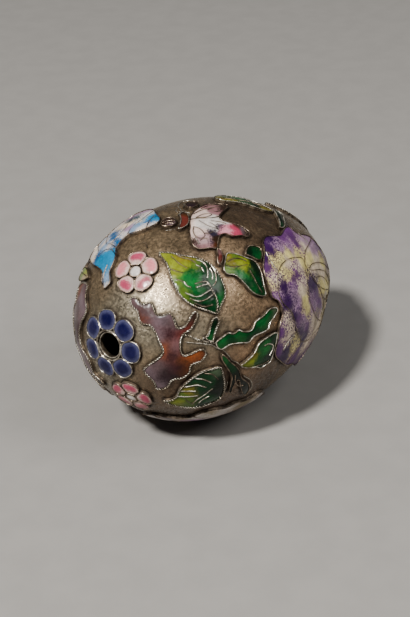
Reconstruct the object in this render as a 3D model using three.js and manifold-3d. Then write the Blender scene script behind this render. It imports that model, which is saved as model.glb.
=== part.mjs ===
// A cloisonne egg: a hollow metal egg with one hole in its blunt end, a wire ring round the
// hole, and raised fields of enamel. It lies on its side on a small flat spot of the white
// peony underneath. Millimetres, +Z up, origin at the flat spot, hole towards -X.
import * as THREE from 'three';
import { mergeVertices } from 'three/addons/utils/BufferGeometryUtils.js';
import Module from 'manifold-3d';

const wasm = await Module();
wasm.setup();

// Driving dimensions
const eggLength = 77.5;
const middleWidth = 51.2;
const bluntness = 0.18;
const wall = 1.2;
const holeDiameter = 5.9;
const ringDiameter = 7.15;
const ringWidth = 0.5;
const ringHeight = 0.8;
const relief = 0.9;
const solderGap = 0.1;
const flatDepth = 0.4;
const ringClearance = 0.25;
const fieldGap = 0.2;

// Facets
const facetsRound = 28;
const facetsAlong = 18;
const outlineStep = 1.8;
const wireFacets = 6;

// Outlines are drawn in millimetres on a ball of this radius and grow with the egg.
const drawnBall = 26;

const enamels = {
  silver: { color: 0x8a8378, roughness: 0.42, metalness: 0.85 },
  wire: { color: 0xb5afa2, roughness: 0.3, metalness: 0.95 },
  blue: { color: 0x23326e, roughness: 0.2, metalness: 0 },
  sky: { color: 0x9cc3dc, roughness: 0.2, metalness: 0 },
  pink: { color: 0xd07a92, roughness: 0.2, metalness: 0 },
  blush: { color: 0xdcc0c4, roughness: 0.2, metalness: 0 },
  green: { color: 0x1f6a35, roughness: 0.2, metalness: 0 },
  darkGreen: { color: 0x1c4a2c, roughness: 0.2, metalness: 0 },
  lime: { color: 0x9dae2e, roughness: 0.2, metalness: 0 },
  mauve: { color: 0x6c5a5e, roughness: 0.2, metalness: 0 },
  brown: { color: 0x5a3a30, roughness: 0.2, metalness: 0 },
  purple: { color: 0x5f4382, roughness: 0.2, metalness: 0 },
  white: { color: 0xd8d4c6, roughness: 0.2, metalness: 0 },
};

// The egg's profile. The angle runs from 0 at the hole's end to 180 degrees at the tail, and
// the offset grows the profile outwards.
function profileAt(angle, offset = 0) {
  const halfLength = eggLength / 2 + offset;
  const halfWidth = middleWidth / 2 + offset;
  const along = halfLength * Math.cos(angle);
  const radius = halfWidth * Math.sin(angle) * (1 + bluntness * Math.cos(angle));
  return new THREE.Vector2(radius, along);
}

// Where the line square to the surface at this angle meets the egg's axis.
function axisFoot(angle) {
  const halfLength = eggLength / 2;
  const halfWidth = middleWidth / 2;
  const swell = 1 + bluntness * Math.cos(angle);
  const slope = halfWidth * (Math.cos(angle) * swell - bluntness * Math.sin(angle) ** 2);
  return halfLength * Math.cos(angle) - (halfWidth / halfLength) * swell * slope;
}

function angleAtRadius(radius) {
  let low = 0;
  let high = Math.PI / 3;
  for (let i = 0; i < 40; i++) {
    const middle = (low + high) / 2;
    if (profileAt(middle).x < radius) low = middle;
    else high = middle;
  }
  return low;
}

// The egg's balance point along its axis, taken on its thin wall.
function balancePoint() {
  const steps = 400;
  let area = 0;
  let moment = 0;
  let last = profileAt(0);
  for (let i = 1; i <= steps; i++) {
    const next = profileAt((Math.PI * i) / steps);
    const band = last.distanceTo(next) * (last.x + next.x);
    area += band;
    moment += (band * (last.y + next.y)) / 2;
    last = next;
  }
  return moment / area;
}

// The egg rolls until the line square to its lowest point passes through the balance point.
function restAngle() {
  const balance = balancePoint();
  let low = Math.PI / 4;
  let high = (3 * Math.PI) / 4;
  for (let i = 0; i < 40; i++) {
    const middle = (low + high) / 2;
    if (axisFoot(middle) > balance) low = middle;
    else high = middle;
  }
  return low;
}

const contactAngle = restAngle();
const contact = profileAt(contactAngle);
const tilt = Math.atan2(axisFoot(contactAngle) - contact.y, contact.x);

function lowestReach(offset) {
  let reach = 0;
  for (let i = 0; i <= 360; i++) {
    const point = profileAt((Math.PI * i) / 360, offset);
    reach = Math.max(reach, point.x * Math.cos(tilt) - point.y * Math.sin(tilt));
  }
  return reach;
}

// The egg's own directions: along the axis to the hole, up, and towards the front.
const toHole = new THREE.Vector3(-Math.cos(tilt), 0, Math.sin(tilt));
const toTop = new THREE.Vector3(Math.sin(tilt), 0, Math.cos(tilt));
const toFront = new THREE.Vector3(0, -1, 0);
const toBack = toFront.clone().negate();
const centre = new THREE.Vector3(
  contact.y * Math.cos(tilt) + contact.x * Math.sin(tilt),
  0,
  lowestReach(relief) - flatDepth,
);
const eggPose = new THREE.Matrix4().makeBasis(toBack, toHole, toTop).setPosition(centre);

function toSolid(geometry) {
  const bare = geometry.clone();
  bare.deleteAttribute('normal');
  bare.deleteAttribute('uv');
  const merged = mergeVertices(bare, 1e-5);
  return new wasm.Manifold(
    new wasm.Mesh({
      numProp: 3,
      vertProperties: new Float32Array(merged.attributes.position.array),
      triVerts: new Uint32Array(merged.index.array),
    }),
  );
}

function toGeometry(solid) {
  const mesh = solid.getMesh();
  const geometry = new THREE.BufferGeometry();
  geometry.setAttribute('position', new THREE.BufferAttribute(mesh.vertProperties, 3));
  geometry.setIndex(new THREE.BufferAttribute(mesh.triVerts, 1));
  geometry.computeVertexNormals();
  return geometry;
}

function turned(profile) {
  return new THREE.LatheGeometry(profile, facetsRound).applyMatrix4(eggPose);
}

function wholeEgg(offset) {
  const profile = [];
  for (let i = facetsAlong; i >= 0; i--) profile.push(profileAt((Math.PI * i) / facetsAlong, offset));
  profile[0].x = 0;
  profile[facetsAlong].x = 0;
  return toSolid(turned(profile));
}

// A rod along the axis from the egg's middle out through the hole.
function rodThroughHole(radius) {
  const rod = new THREE.CylinderGeometry(radius, radius, eggLength, facetsRound);
  return toSolid(rod.translate(0, eggLength / 2, 0).applyMatrix4(eggPose));
}

// The ground has the same facets as the relief above it, so the gap between them is even.
function eggShell() {
  const hollow = wholeEgg(0).subtract(wholeEgg(-wall));
  return toGeometry(hollow.subtract(rodThroughHole(holeDiameter / 2)));
}

// The ring stands as high as the relief, like the wire fences round the enamel.
function holeRing() {
  const seat = profileAt(angleAtRadius((ringDiameter - ringWidth) / 2));
  const middle = seat.y + solderGap + ringHeight / 2;
  const profile = [];
  for (let i = 0; i <= wireFacets; i++) {
    const around = (2 * Math.PI * i) / wireFacets;
    const radius = ringDiameter / 2 + (ringWidth / 2) * Math.cos(around);
    profile.push(new THREE.Vector2(radius, middle + (ringHeight / 2) * Math.sin(around)));
  }
  return turned(profile);
}

// The shell of space between the solder and the top of the relief, cut flat where it rests.
const aboveFloor = new THREE.BoxGeometry(3 * eggLength, 3 * eggLength, 3 * eggLength);
aboveFloor.translate(0, 0, 1.5 * eggLength);
const reliefSpace = wholeEgg(relief).subtract(wholeEgg(solderGap)).intersect(toSolid(aboveFloor));

// A place on the egg: down is the profile angle and turn goes from the top over the front.
// Its outline is drawn flat, u away from the hole and v towards a smaller turn.
function directionAt(place, point) {
  const down = THREE.MathUtils.degToRad(place.down);
  const turn = THREE.MathUtils.degToRad(place.turn);
  const outwards = toTop.clone().multiplyScalar(Math.cos(turn)).addScaledVector(toFront, Math.sin(turn));
  const surface = profileAt(down);
  const square = new THREE.Vector2(surface.x, surface.y - axisFoot(down)).normalize();
  const normal = outwards.clone().multiplyScalar(square.x).addScaledVector(toHole, square.y);
  const v = toTop.clone().multiplyScalar(Math.sin(turn)).addScaledVector(toFront, -Math.cos(turn));
  const u = v.clone().cross(normal);
  const distance = Math.max(point.length(), 1e-6);
  const angle = distance / drawnBall;
  return normal
    .multiplyScalar(Math.cos(angle))
    .addScaledVector(u, (Math.sin(angle) * point.x) / distance)
    .addScaledVector(v, (Math.sin(angle) * point.y) / distance);
}

// A closed cone from the egg's axis out through an outline.
function outlineCone(place, outline) {
  const foot = axisFoot(THREE.MathUtils.degToRad(place.down));
  const apex = centre.clone().addScaledVector(toHole, foot);
  const ring = outline.map((point) => directionAt(place, point).multiplyScalar(eggLength).add(apex));
  const positions = [...apex.toArray(), ...ring.flatMap((point) => point.toArray())];
  const faces = THREE.ShapeUtils.triangulateShape(outline, []).flatMap((face) => face.map((i) => i + 1));
  for (let i = 0; i < outline.length; i++) {
    faces.push(0, ((i + 1) % outline.length) + 1, i + 1);
  }
  const geometry = new THREE.BufferGeometry();
  geometry.setAttribute('position', new THREE.Float32BufferAttribute(positions, 3));
  geometry.setIndex(faces);
  return toSolid(geometry);
}

// A smooth closed outline through a few chosen points, wound to the left.
function smooth(points) {
  const corners = points.map(([u, v]) => new THREE.Vector3(u, v, 0));
  const curve = new THREE.CatmullRomCurve3(corners, true, 'centripetal');
  const count = Math.max(8, Math.round(curve.getLength() / outlineStep));
  const outline = curve.getSpacedPoints(count).slice(0, count);
  const flat = outline.map((point) => new THREE.Vector2(point.x, point.y));
  return THREE.ShapeUtils.isClockWise(flat) ? flat.reverse() : flat;
}

// A flower's outline: round petals, with a waist between each two of them.
function petals({ count, tip, waist, first, roundness = 0.7, steps = 6 }) {
  const outline = [];
  for (let i = 0; i < count * steps; i++) {
    const turn = (2 * Math.PI * i) / (count * steps);
    const swell = Math.abs(Math.cos((turn * count) / 2)) ** roundness;
    const radius = waist + (tip - waist) * swell;
    const heading = turn + THREE.MathUtils.degToRad(first);
    outline.push(new THREE.Vector2(radius * Math.cos(heading), radius * Math.sin(heading)));
  }
  return outline;
}

// The same outline, moved outwards by a gap.
function grown(outline, gap) {
  return outline.map((point, i) => {
    const before = outline[(i + outline.length - 1) % outline.length];
    const after = outline[(i + 1) % outline.length];
    const outwards = new THREE.Vector2(after.y - before.y, before.x - after.x).normalize();
    return point.clone().addScaledVector(outwards, gap);
  });
}

// A plain pointed leaf: a midrib bowed to one side, widest past its middle.
function leaf({ length, width, heading, bow = 0, steps = 11 }) {
  const turn = THREE.MathUtils.degToRad(heading);
  const along = new THREE.Vector2(Math.cos(turn), Math.sin(turn));
  const across = new THREE.Vector2(-along.y, along.x);
  const edge = (share, side) => {
    const half = (width / 2) * Math.sin(Math.PI * share ** 0.8);
    const drift = bow * Math.sin(Math.PI * share);
    const point = along.clone().multiplyScalar(length * (share - 0.5));
    return point.addScaledVector(across, drift + side * half);
  };
  const outline = [];
  for (let i = 0; i < steps; i++) outline.push(edge(i / steps, -1));
  for (let i = steps; i > 0; i--) outline.push(edge(i / steps, 1));
  return outline;
}

const at = (down, turn) => ({ down, turn });

// The enamel fields. Each keeps a gap to those before it, as a leaf does to the flower over it.
const fields = {
  blue_flower: {
    place: at(0, 0),
    outline: petals({ count: 7, tip: 9, waist: 6.8, first: 64 }),
    enamel: 'blue',
  },
  pink_blossom_upper: {
    place: at(34, 5),
    outline: petals({ count: 5, tip: 6, waist: 3.6, first: 29 }),
    enamel: 'pink',
  },
  pink_blossom_lower: {
    place: at(27, 164),
    outline: petals({ count: 5, tip: 6, waist: 3.6, first: 9 }),
    enamel: 'pink',
  },
  purple_peony: {
    place: at(98, 72),
    outline: smooth([[-13, 11.5], [-11, 13.5], [-9.5, 15.5], [-7, 16.5], [-4, 16], [-1, 15.4],
      [3, 16.2], [7, 16], [8.5, 13.5], [12, 12], [16, 10], [19, 5.5], [20.5, 0], [18, -4],
      [14, -6.5], [12.5, -10], [12.5, -15], [9, -18.5], [4.5, -21.5], [0, -20.5], [-4, -18.5],
      [-8, -17.2], [-12, -14.5], [-15.3, -11], [-15, -7.5], [-14.5, -4.5], [-13, -1.5],
      [-13.6, 1], [-15.2, 2.5], [-15.3, 5], [-14.8, 9]]),
    enamel: 'purple',
  },
  white_peony: {
    place: at(64, 150),
    outline: smooth([[-13, -5], [-9.5, -1.5], [-6.8, 1.2], [-6.8, 4.4], [-4.3, 7], [-1.3, 8],
      [0.5, 9.8], [4.5, 10.3], [7.8, 12], [11.5, 10], [14, 5.5], [18, 2], [22, -2], [26, -6.5],
      [27, -12], [26, -18], [21, -20.5], [15, -20], [10.5, -21.5], [5, -19], [1, -18.5], [-3, -14.5],
      [-7, -13], [-12, -9.5]]),
    enamel: 'white',
  },
  bluebird: {
    place: at(45, -30),
    outline: smooth([[-3.7, 5], [-1.5, 7.5], [1, 9.8], [3.5, 11], [6.5, 9.5], [8, 6.5], [10.5, 5.8],
      [13.5, 5], [15.8, 3], [16.3, -0.5], [15.5, -4], [12, -8], [9, -10.8], [6.8, -10.6], [5.2, -9],
      [3.8, -6.8], [2.9, -4.5], [1, -3.6], [-1, -3], [-3, -3.6], [-5.5, -3.8], [-8, -3.2],
      [-11, -3.7], [-12.3, -1.8], [-10.5, -0.7], [-7.6, -0.2], [-6, 1.5]]),
    enamel: 'sky',
  },
  butterfly_wings: {
    place: at(68, 18),
    outline: smooth([[-1.5, 4.6], [1, 6.1], [4, 7], [8, 7.2], [10.5, 6], [12.3, 4], [9.3, 2.6],
      [6, 1.5], [5, 0.2], [6.5, -1.9], [8, -4], [8.4, -6], [7, -7], [5, -6], [3, -5.3],
      [1.8, -3.8], [0.3, -3.6], [-1.5, -4.6], [-3.2, -5.8], [-5, -4.7], [-6.9, -3.4],
      [-7.2, -1.6], [-5, 1.5], [-3.2, 3]]),
    enamel: 'blush',
  },
  butterfly_body: {
    place: at(68, 18),
    outline: smooth([[-5.7, 4.1], [-5, 3.2], [-3.8, 3.4], [-2, 5], [0, 6.5], [2, 7.4], [2.8, 9],
      [1, 8.8], [-1.6, 7], [-3.6, 5.4]]),
    enamel: 'brown',
  },
  butterfly_hind_wing: {
    place: at(68, 18),
    outline: smooth([[-8.2, 6.5], [-7, 5.3], [-5.7, 5.1], [-4.3, 6], [-3.3, 7.8], [-4.4, 9], [-6.7, 8.8]]),
    enamel: 'brown',
  },
  butterfly_far_wing: {
    place: at(68, 18),
    outline: smooth([[3.4, 8.3], [5, 8], [6.8, 8.6], [7.8, 10.4], [6.2, 11.4], [3.8, 10.6]]),
    enamel: 'mauve',
  },
  rock: {
    place: at(30, 73),
    outline: smooth([[-9, 11], [-7, 11.5], [-5.5, 10], [-3.5, 9], [-2.5, 7], [-0.5, 7], [1, 5],
      [1.5, 3], [3, 2.5], [4.5, 4.5], [6.5, 5.5], [6, 3], [4, 1.5], [2, 0.5], [1.5, -2], [2, -4.5],
      [4, -4], [6.5, -4], [7, -5.5], [5, -6.5], [2.5, -7.5], [2, -9.5], [0, -10.5], [-2.5, -11],
      [-4.5, -13], [-6.5, -13], [-6.5, -10.5], [-9, -7], [-6, -4.5], [-3, -2.5], [-3.5, 0],
      [-3.5, 3], [-6, 4.5], [-7.5, 6], [-7.5, 8.5], [-9.5, 9.5]]),
    enamel: 'mauve',
  },
  big_leaf: {
    place: at(48, 39),
    outline: smooth([[-3, 10.5], [-1, 9], [1, 6.5], [3.5, 4], [5.3, 1], [5.5, -3], [4.2, -7],
      [1.5, -9], [0, -10], [-2, -8.2], [-4.5, -5], [-5.5, -1.5], [-5, 2.5], [-3.5, 6.5]]),
    enamel: 'green',
  },
  peony_leaf: {
    place: at(67, 49),
    outline: smooth([[-4.8, 2.5], [-3, 4.5], [-1.5, 5.8], [0.5, 5], [2.7, 3], [4.5, 1.4], [4.7, -1],
      [3.7, -4.8], [3.1, -6.9], [1.5, -6.6], [-0.5, -5], [-2, -1.5], [-3, 0.3], [-4.5, 1.2]]),
    enamel: 'green',
  },
  small_dark_leaf: {
    place: at(67, 49),
    outline: smooth([[4, 4], [5.2, 5], [6.6, 4.8], [8.6, 3.6], [8, 2], [6.5, 1.1], [5.4, 2.3]]),
    enamel: 'darkGreen',
  },
  wavy_leaf: {
    place: at(62, 78),
    outline: smooth([[-9.4, -0.8], [-7.5, 0.3], [-6, 0.9], [-4.8, 0.4], [-3.3, 0.9], [-2, 0.2],
      [0, 0], [1.5, 1.6], [4, 2.3], [6.5, 3.3], [8.8, 2.9], [9.2, 2], [7.5, 0.8], [6.2, 0],
      [5.2, -1.4], [2.5, -1.8], [0.7, -2], [-0.8, -3], [-3, -2.6], [-6, -2.3], [-8, -3], [-9, -2.4]]),
    enamel: 'green',
  },
  curled_leaf: {
    place: at(67, 94),
    outline: smooth([[-5.8, -1.5], [-4, -0.2], [-2.5, 1], [-1, 3.3], [1.5, 4.2], [4.3, 4.6],
      [5.2, 4.2], [4.9, 2], [4.3, -0.5], [3.6, -3], [2.2, -3.4], [0.8, -3.8], [-0.8, -3.1],
      [-3, -2.8], [-5, -2.2]]),
    enamel: 'darkGreen',
  },
  lower_leaf: {
    place: at(44, 119),
    outline: smooth([[-6.7, -5.5], [-5.5, -4.5], [-4.8, -2.5], [-5.2, 0], [-4.5, 3], [-2.4, 6.7],
      [0, 8.2], [2.3, 8.9], [3.8, 7], [5.7, 3.8], [6.8, 0.5], [6.6, -1.3], [4.8, -3.2], [2.5, -5.2],
      [-0.8, -6.1], [-4.1, -6.2]]),
    enamel: 'darkGreen',
  },
  leaf_stem: {
    place: at(46, 72),
    outline: smooth([[1.3, 2.4], [0.1, 1.9], [-0.9, 0.3], [-1.8, -1.6], [-0.8, -2.2], [0, -3],
      [0.5, -2], [0.6, -0.5], [1.5, 0.8], [1.9, 1.9]]),
    enamel: 'darkGreen',
  },
  forked_stem: {
    place: at(57, 105),
    outline: smooth([[-5.4, 6.6], [-4, 6], [-2.5, 4.6], [-1, 3.5], [0.4, 2.2], [1.9, -0.2],
      [5, -2.7], [6.6, -5.9], [6.2, -7.6], [4.6, -6.4], [2.3, -3.2], [1, -1], [0.5, -2.6],
      [0.6, -5], [-0.4, -4.8], [-0.9, -2], [-1.4, 0.3], [-2.7, 2.1], [-4, 3.6], [-5.2, 5.2]]),
    enamel: 'darkGreen',
  },
  red_bud: {
    place: at(61, 37),
    outline: smooth([[1.2, 2.6], [2, 2], [1.2, 0.1], [0.1, -0.9], [-1.4, -1.4], [-1, 0.1], [0, 1.1]]),
    enamel: 'brown',
  },
  small_lime_leaf: {
    place: at(41, -60),
    outline: smooth([[-4.5, -3.8], [-2.3, -3.6], [1, -2], [4, 0.5], [5.2, 2.6], [3, 3.4], [0, 2.2], [-2.8, -0.5]]),
    enamel: 'lime',
  },
  back_rock: {
    place: at(22, -95),
    outline: smooth([[4, -12], [0, -12.5], [-0.5, -11], [-1.8, -9], [-3.3, -7.3], [-3.2, -5.5],
      [-2, -3.5], [-0.7, -1], [-0.4, 2], [-1, 4], [-3, 5], [-3.8, 8], [-3.4, 11], [-5.8, 12.2],
      [-6, 14], [-2.5, 14.5], [1, 12], [3.5, 9], [5.5, 5], [5, 1], [6.5, -3], [5.5, -7], [6.5, -10]]),
    enamel: 'mauve',
  },
  top_leaf: {
    place: at(99, 9),
    outline: smooth([[-7.2, 4], [-6.4, 2], [-4.4, 0.8], [-2.2, -0.9], [-0.5, -2.8], [2.5, -4.6],
      [4.6, -4.8], [6.4, -4.2], [4.6, -1], [3.4, 2], [0.5, 5], [-3, 6.6], [-6, 6]]),
    enamel: 'lime',
  },
  top_stem: {
    place: at(105, 29),
    outline: smooth([[2, 4], [0, 1.8], [-2.5, -0.7], [-4.3, -2], [-3, -2.4], [-0.6, -1.7], [2.3, 0.4],
      [5.2, 3], [4, 4.4]]),
    enamel: 'darkGreen',
  },
  back_peony: {
    place: at(104, 262),
    outline: petals({ count: 6, tip: 14, waist: 10.5, first: 20 }),
    enamel: 'purple',
  },
  back_leaf_upper: {
    place: at(82, 309),
    outline: leaf({ length: 17, width: 9, heading: 35, bow: 1.5 }),
    enamel: 'green',
  },
  back_leaf_lower: {
    place: at(70, 222),
    outline: leaf({ length: 16, width: 8, heading: 150, bow: -1.5 }),
    enamel: 'green',
  },
  back_blossom_high: {
    place: at(60, 286),
    outline: petals({ count: 5, tip: 6, waist: 3.6, first: 50 }),
    enamel: 'pink',
  },
  back_blossom_low: {
    place: at(48, 218),
    outline: petals({ count: 5, tip: 6, waist: 3.6, first: 12 }),
    enamel: 'pink',
  },
  back_leaf_tail: {
    place: at(130, 322),
    outline: leaf({ length: 24, width: 13, heading: 60, bow: 2.5 }),
    enamel: 'green',
  },
  tail_leaf: {
    place: at(136, 8),
    outline: leaf({ length: 24, width: 12, heading: -20, bow: 2 }),
    enamel: 'darkGreen',
  },
  tail_blossom: {
    place: at(180, 0),
    outline: petals({ count: 5, tip: 12, waist: 7.2, first: 30 }),
    enamel: 'pink',
  },
  underside_leaf: {
    place: at(122, 178),
    outline: leaf({ length: 26, width: 13, heading: 75, bow: -2.5 }),
    enamel: 'green',
  },
};

function named(name, geometry, enamel) {
  const mesh = new THREE.Mesh(geometry, new THREE.MeshStandardMaterial(enamels[enamel]));
  mesh.name = name;
  return mesh;
}

const egg = new THREE.Group();
egg.add(named('egg_shell', eggShell(), 'silver'));
egg.add(named('hole_ring', holeRing(), 'wire'));

const aroundRing = rodThroughHole((ringDiameter + ringWidth) / 2 + ringClearance);
let taken = aroundRing;
for (const [name, { place, outline, enamel }] of Object.entries(fields)) {
  const field = reliefSpace.intersect(outlineCone(place, outline)).subtract(taken);
  egg.add(named(name, toGeometry(field), enamel));
  taken = taken.add(reliefSpace.intersect(outlineCone(place, grown(outline, fieldGap))));
}

export default egg;
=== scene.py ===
import math

import bpy
import numpy as np
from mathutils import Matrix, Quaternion, Vector
from mathutils.geometry import delaunay_2d_cdt


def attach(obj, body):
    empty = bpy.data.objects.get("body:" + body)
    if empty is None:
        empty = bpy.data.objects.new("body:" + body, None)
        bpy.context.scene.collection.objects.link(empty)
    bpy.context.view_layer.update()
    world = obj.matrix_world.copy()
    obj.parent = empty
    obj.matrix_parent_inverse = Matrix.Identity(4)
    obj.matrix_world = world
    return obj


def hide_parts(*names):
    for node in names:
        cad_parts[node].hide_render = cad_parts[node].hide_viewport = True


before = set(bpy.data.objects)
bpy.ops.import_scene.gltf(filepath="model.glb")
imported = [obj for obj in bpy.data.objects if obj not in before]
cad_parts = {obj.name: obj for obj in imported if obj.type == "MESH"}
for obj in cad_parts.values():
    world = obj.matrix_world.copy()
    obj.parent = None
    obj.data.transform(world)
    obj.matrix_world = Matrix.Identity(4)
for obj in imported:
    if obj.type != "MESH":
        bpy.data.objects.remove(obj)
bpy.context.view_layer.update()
millimetre = 0.001

# Enamel and metal colours, as display red, green and blue.
palette = {
    "lime": (130, 140, 34), "limeGreen": (84, 110, 34), "olive": (116, 108, 30),
    "leafGreen": (12, 76, 32), "brightGreen": (12, 104, 42), "bottleGreen": (3, 50, 22),
    "darkGreen": (3, 22, 9), "mistGreen": (64, 80, 58), "rust": (92, 44, 24),
    "mauve": (86, 68, 70), "greyMauve": (96, 80, 86), "plum": (46, 20, 26),
    "rose": (108, 76, 78), "rustBrown": (72, 38, 17), "orange": (134, 68, 30),
    "darkBrown": (42, 29, 20), "darkPlum": (36, 22, 27), "maroon": (96, 40, 34),
    "deepPurple": (48, 10, 70), "purple": (90, 46, 104), "lilac": (164, 132, 160),
    "cream": (226, 206, 178), "butter": (226, 210, 134), "greyCream": (150, 134, 104),
    "greyPurple": (106, 82, 104), "white": (212, 203, 198), "iceBlue": (130, 156, 186),
    "turquoise": (10, 122, 168), "brightBlue": (4, 80, 130), "blush": (216, 190, 180),
    "tealBlue": (12, 80, 120), "darkTeal": (44, 68, 84), "paleMauve": (176, 146, 148),
    "hotPink": (172, 58, 86), "blushPink": (216, 144, 158), "mauvePink": (136, 98, 102),
    "inkBlue": (40, 36, 52), "navy": (15, 13, 58), "slateBlue": (76, 78, 110),
    "deepPink": (168, 66, 92), "softPink": (206, 124, 130), "salmon": (176, 96, 108),
}


# A colour's light, undoing the display's own curve.
def linearColour(name):
    share = np.array(palette[name]) / 255
    return np.where(share <= 0.04045, share / 12.92, ((share + 0.055) / 1.055) ** 2.4)


# The egg: millimetres and degrees. Its hole end is raised and points towards -X.
eggShape = {
    "length": 77.5,
    "width": 51.2,
    "bluntness": 0.18,
    "wall": 1.2,
    "centre": (2.4316, 0.0, 25.8654),
    "tilt": 7.7468,
    "holeDiameter": 5.9,
    "holeChamfer": 0.15,
    "drawnBall": 26.0,        # outlines are drawn flat, as on a ball of this radius
    "stepsRound": 360,
    "stepsAlong": 215,
    "insideAlong": 40,
    "crowding": 1.2,          # mesh rows lie closer together towards the hole
}
tilt = math.radians(eggShape["tilt"])
toHole = np.array([-math.cos(tilt), 0, math.sin(tilt)])
toTop = np.array([math.sin(tilt), 0, math.cos(tilt)])
toFront = np.array([0.0, -1.0, 0.0])
eggCentre = np.array(eggShape["centre"])
halfLength, halfWidth = eggShape["length"] / 2, eggShape["width"] / 2
bluntness = eggShape["bluntness"]


def profileAt(angle, lift=0.0):
    along = (halfLength + lift) * np.cos(angle)
    radius = (halfWidth + lift) * np.sin(angle) * (1 + bluntness * np.cos(angle))
    return radius, along


# Where the line square to the surface at this angle meets the egg's axis.
def axisFoot(angle):
    swell = 1 + bluntness * math.cos(angle)
    slope = halfWidth * (math.cos(angle) * swell - bluntness * math.sin(angle) ** 2)
    return halfLength * math.cos(angle) - halfWidth / halfLength * swell * slope


# A place on the egg: degrees down from the hole end, and round from the top over the front.
def placeAxes(place):
    down, turn = math.radians(place[0]), math.radians(place[1])
    outwards = toTop * math.cos(turn) + toFront * math.sin(turn)
    radius, along = profileAt(down)
    square = np.array([radius, along - axisFoot(down)])
    square = square / np.linalg.norm(square)
    normal = outwards * square[0] + toHole * square[1]
    v = toTop * math.sin(turn) - toFront * math.cos(turn)
    u = np.cross(v, normal)
    apex = eggCentre + toHole * axisFoot(down)
    return apex, normal, u, v


surfaceSearch = {"near": 5.0, "far": 60.0, "halvings": 34, "angleHalvings": 40}


# Flat drawn points of a place, laid on the egg at a height over its ground.
def onEgg(place, flat, lift):
    apex, normal, u, v = placeAxes(place)
    flat = np.asarray(flat, float).reshape(-1, 2)
    lift = np.broadcast_to(np.asarray(lift, float), len(flat))
    distance = np.maximum(np.hypot(flat[:, 0], flat[:, 1]), 1e-6)
    angle = distance / eggShape["drawnBall"]
    away = (np.sin(angle) / distance)[:, None] * flat
    ray = np.cos(angle)[:, None] * normal + away[:, :1] * u + away[:, 1:] * v
    near, far = np.full(len(flat), surfaceSearch["near"]), np.full(len(flat), surfaceSearch["far"])
    for _ in range(surfaceSearch["halvings"]):
        middle = (near + far) / 2
        spot = apex + ray * middle[:, None] - eggCentre
        along = spot @ toHole
        across = np.linalg.norm(spot - along[:, None] * toHole, axis=1)
        cosine = np.clip(along / (halfLength + lift), -1, 1)
        inside = (halfWidth + lift) * np.sqrt(1 - cosine**2) * (1 + bluntness * cosine)
        within = (across < inside) & (np.abs(along) < halfLength + lift)
        near, far = np.where(within, middle, near), np.where(within, far, middle)
    points = apex + ray * near[:, None]
    points[:, 2] = np.maximum(points[:, 2], 0)      # worn flat where the egg rests
    return points


# The flat drawn place of points on the egg, the other way round.
def offEgg(place, points):
    apex, normal, u, v = placeAxes(place)
    ray = points - apex
    ray = ray / np.linalg.norm(ray, axis=1)[:, None]
    angle = np.arccos(np.clip(ray @ normal, -1, 1))
    flat = np.stack([ray @ u, ray @ v], 1)
    flat /= np.maximum(np.linalg.norm(flat, axis=1), 1e-9)[:, None]
    return flat * (angle * eggShape["drawnBall"])[:, None]


# How finely lines are drawn: lengths of a step in millimetres, and counts of points.
drawingSteps = {
    "outline": 0.4, "wire": 0.3, "bend": 16, "petal": 48, "disc": 28, "flowerPetal": 30, "leafSide": 40,
}
waveCount, waveSpread = 9, (0.7, 1.6)
batch = 64      # lines are measured this many pieces at a time, to spare memory


# Smooth waves of a given size, the same each run.
def waves(points, size, seed):
    dice = np.random.default_rng(seed)
    total = np.zeros(len(points))
    for _ in range(waveCount):
        direction = dice.normal(size=points.shape[1])
        direction /= np.linalg.norm(direction)
        rate = 2 * math.pi / (size * dice.uniform(*waveSpread))
        total += np.sin(points @ direction * rate + dice.uniform(0, 2 * math.pi))
    return total / math.sqrt(waveCount)


# A smooth line through a few chosen points, with even steps.
def smoothLine(points, closed, step):
    points = np.asarray(points, float)
    count = len(points)
    if closed:
        ends = np.concatenate([points[-1:], points, points[:2]])
    else:
        ends = np.concatenate([[2 * points[0] - points[1]], points, [2 * points[-1] - points[-2]]])
    runs = []
    for i in range(count if closed else count - 1):
        before, start, end, after = ends[i : i + 4]
        gaps = [max(np.linalg.norm(b - a) ** 0.5, 1e-4)
                for a, b in ((before, start), (start, end), (end, after))]
        leave = (start - before) / gaps[0] - (end - before) / (gaps[0] + gaps[1]) + (end - start) / gaps[1]
        enter = (end - start) / gaps[1] - (after - start) / (gaps[1] + gaps[2]) + (after - end) / gaps[2]
        leave, enter = leave * gaps[1], enter * gaps[1]
        share = np.linspace(0, 1, drawingSteps["bend"], endpoint=False)[:, None]
        cube, square = share**3, share**2
        runs.append((2 * cube - 3 * square + 1) * start + (cube - 2 * square + share) * leave
                    + (3 * square - 2 * cube) * end + (cube - square) * enter)
    line = np.concatenate(runs + [points[:1] if closed else points[-1:]])
    walked = np.concatenate([[0], np.cumsum(np.linalg.norm(np.diff(line, axis=0), axis=1))])
    steps = max(6, round(walked[-1] / step))
    marks = np.linspace(0, walked[-1], steps + 1)
    even = np.stack([np.interp(marks, walked, line[:, k]) for k in range(line.shape[1])], 1)
    return even[:-1] if closed else even


def anticlockwise(outline):
    ahead = np.roll(outline, -1, axis=0)
    area = np.sum(outline[:, 0] * ahead[:, 1] - ahead[:, 0] * outline[:, 1])
    return outline if area > 0 else outline[::-1]


# A closed outline moved inwards.
def inset(outline, gap):
    outline = anticlockwise(outline)
    along = np.roll(outline, -1, axis=0) - np.roll(outline, 1, axis=0)
    along /= np.linalg.norm(along, axis=1)[:, None]
    return outline + gap * np.stack([-along[:, 1], along[:, 0]], 1)


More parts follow.
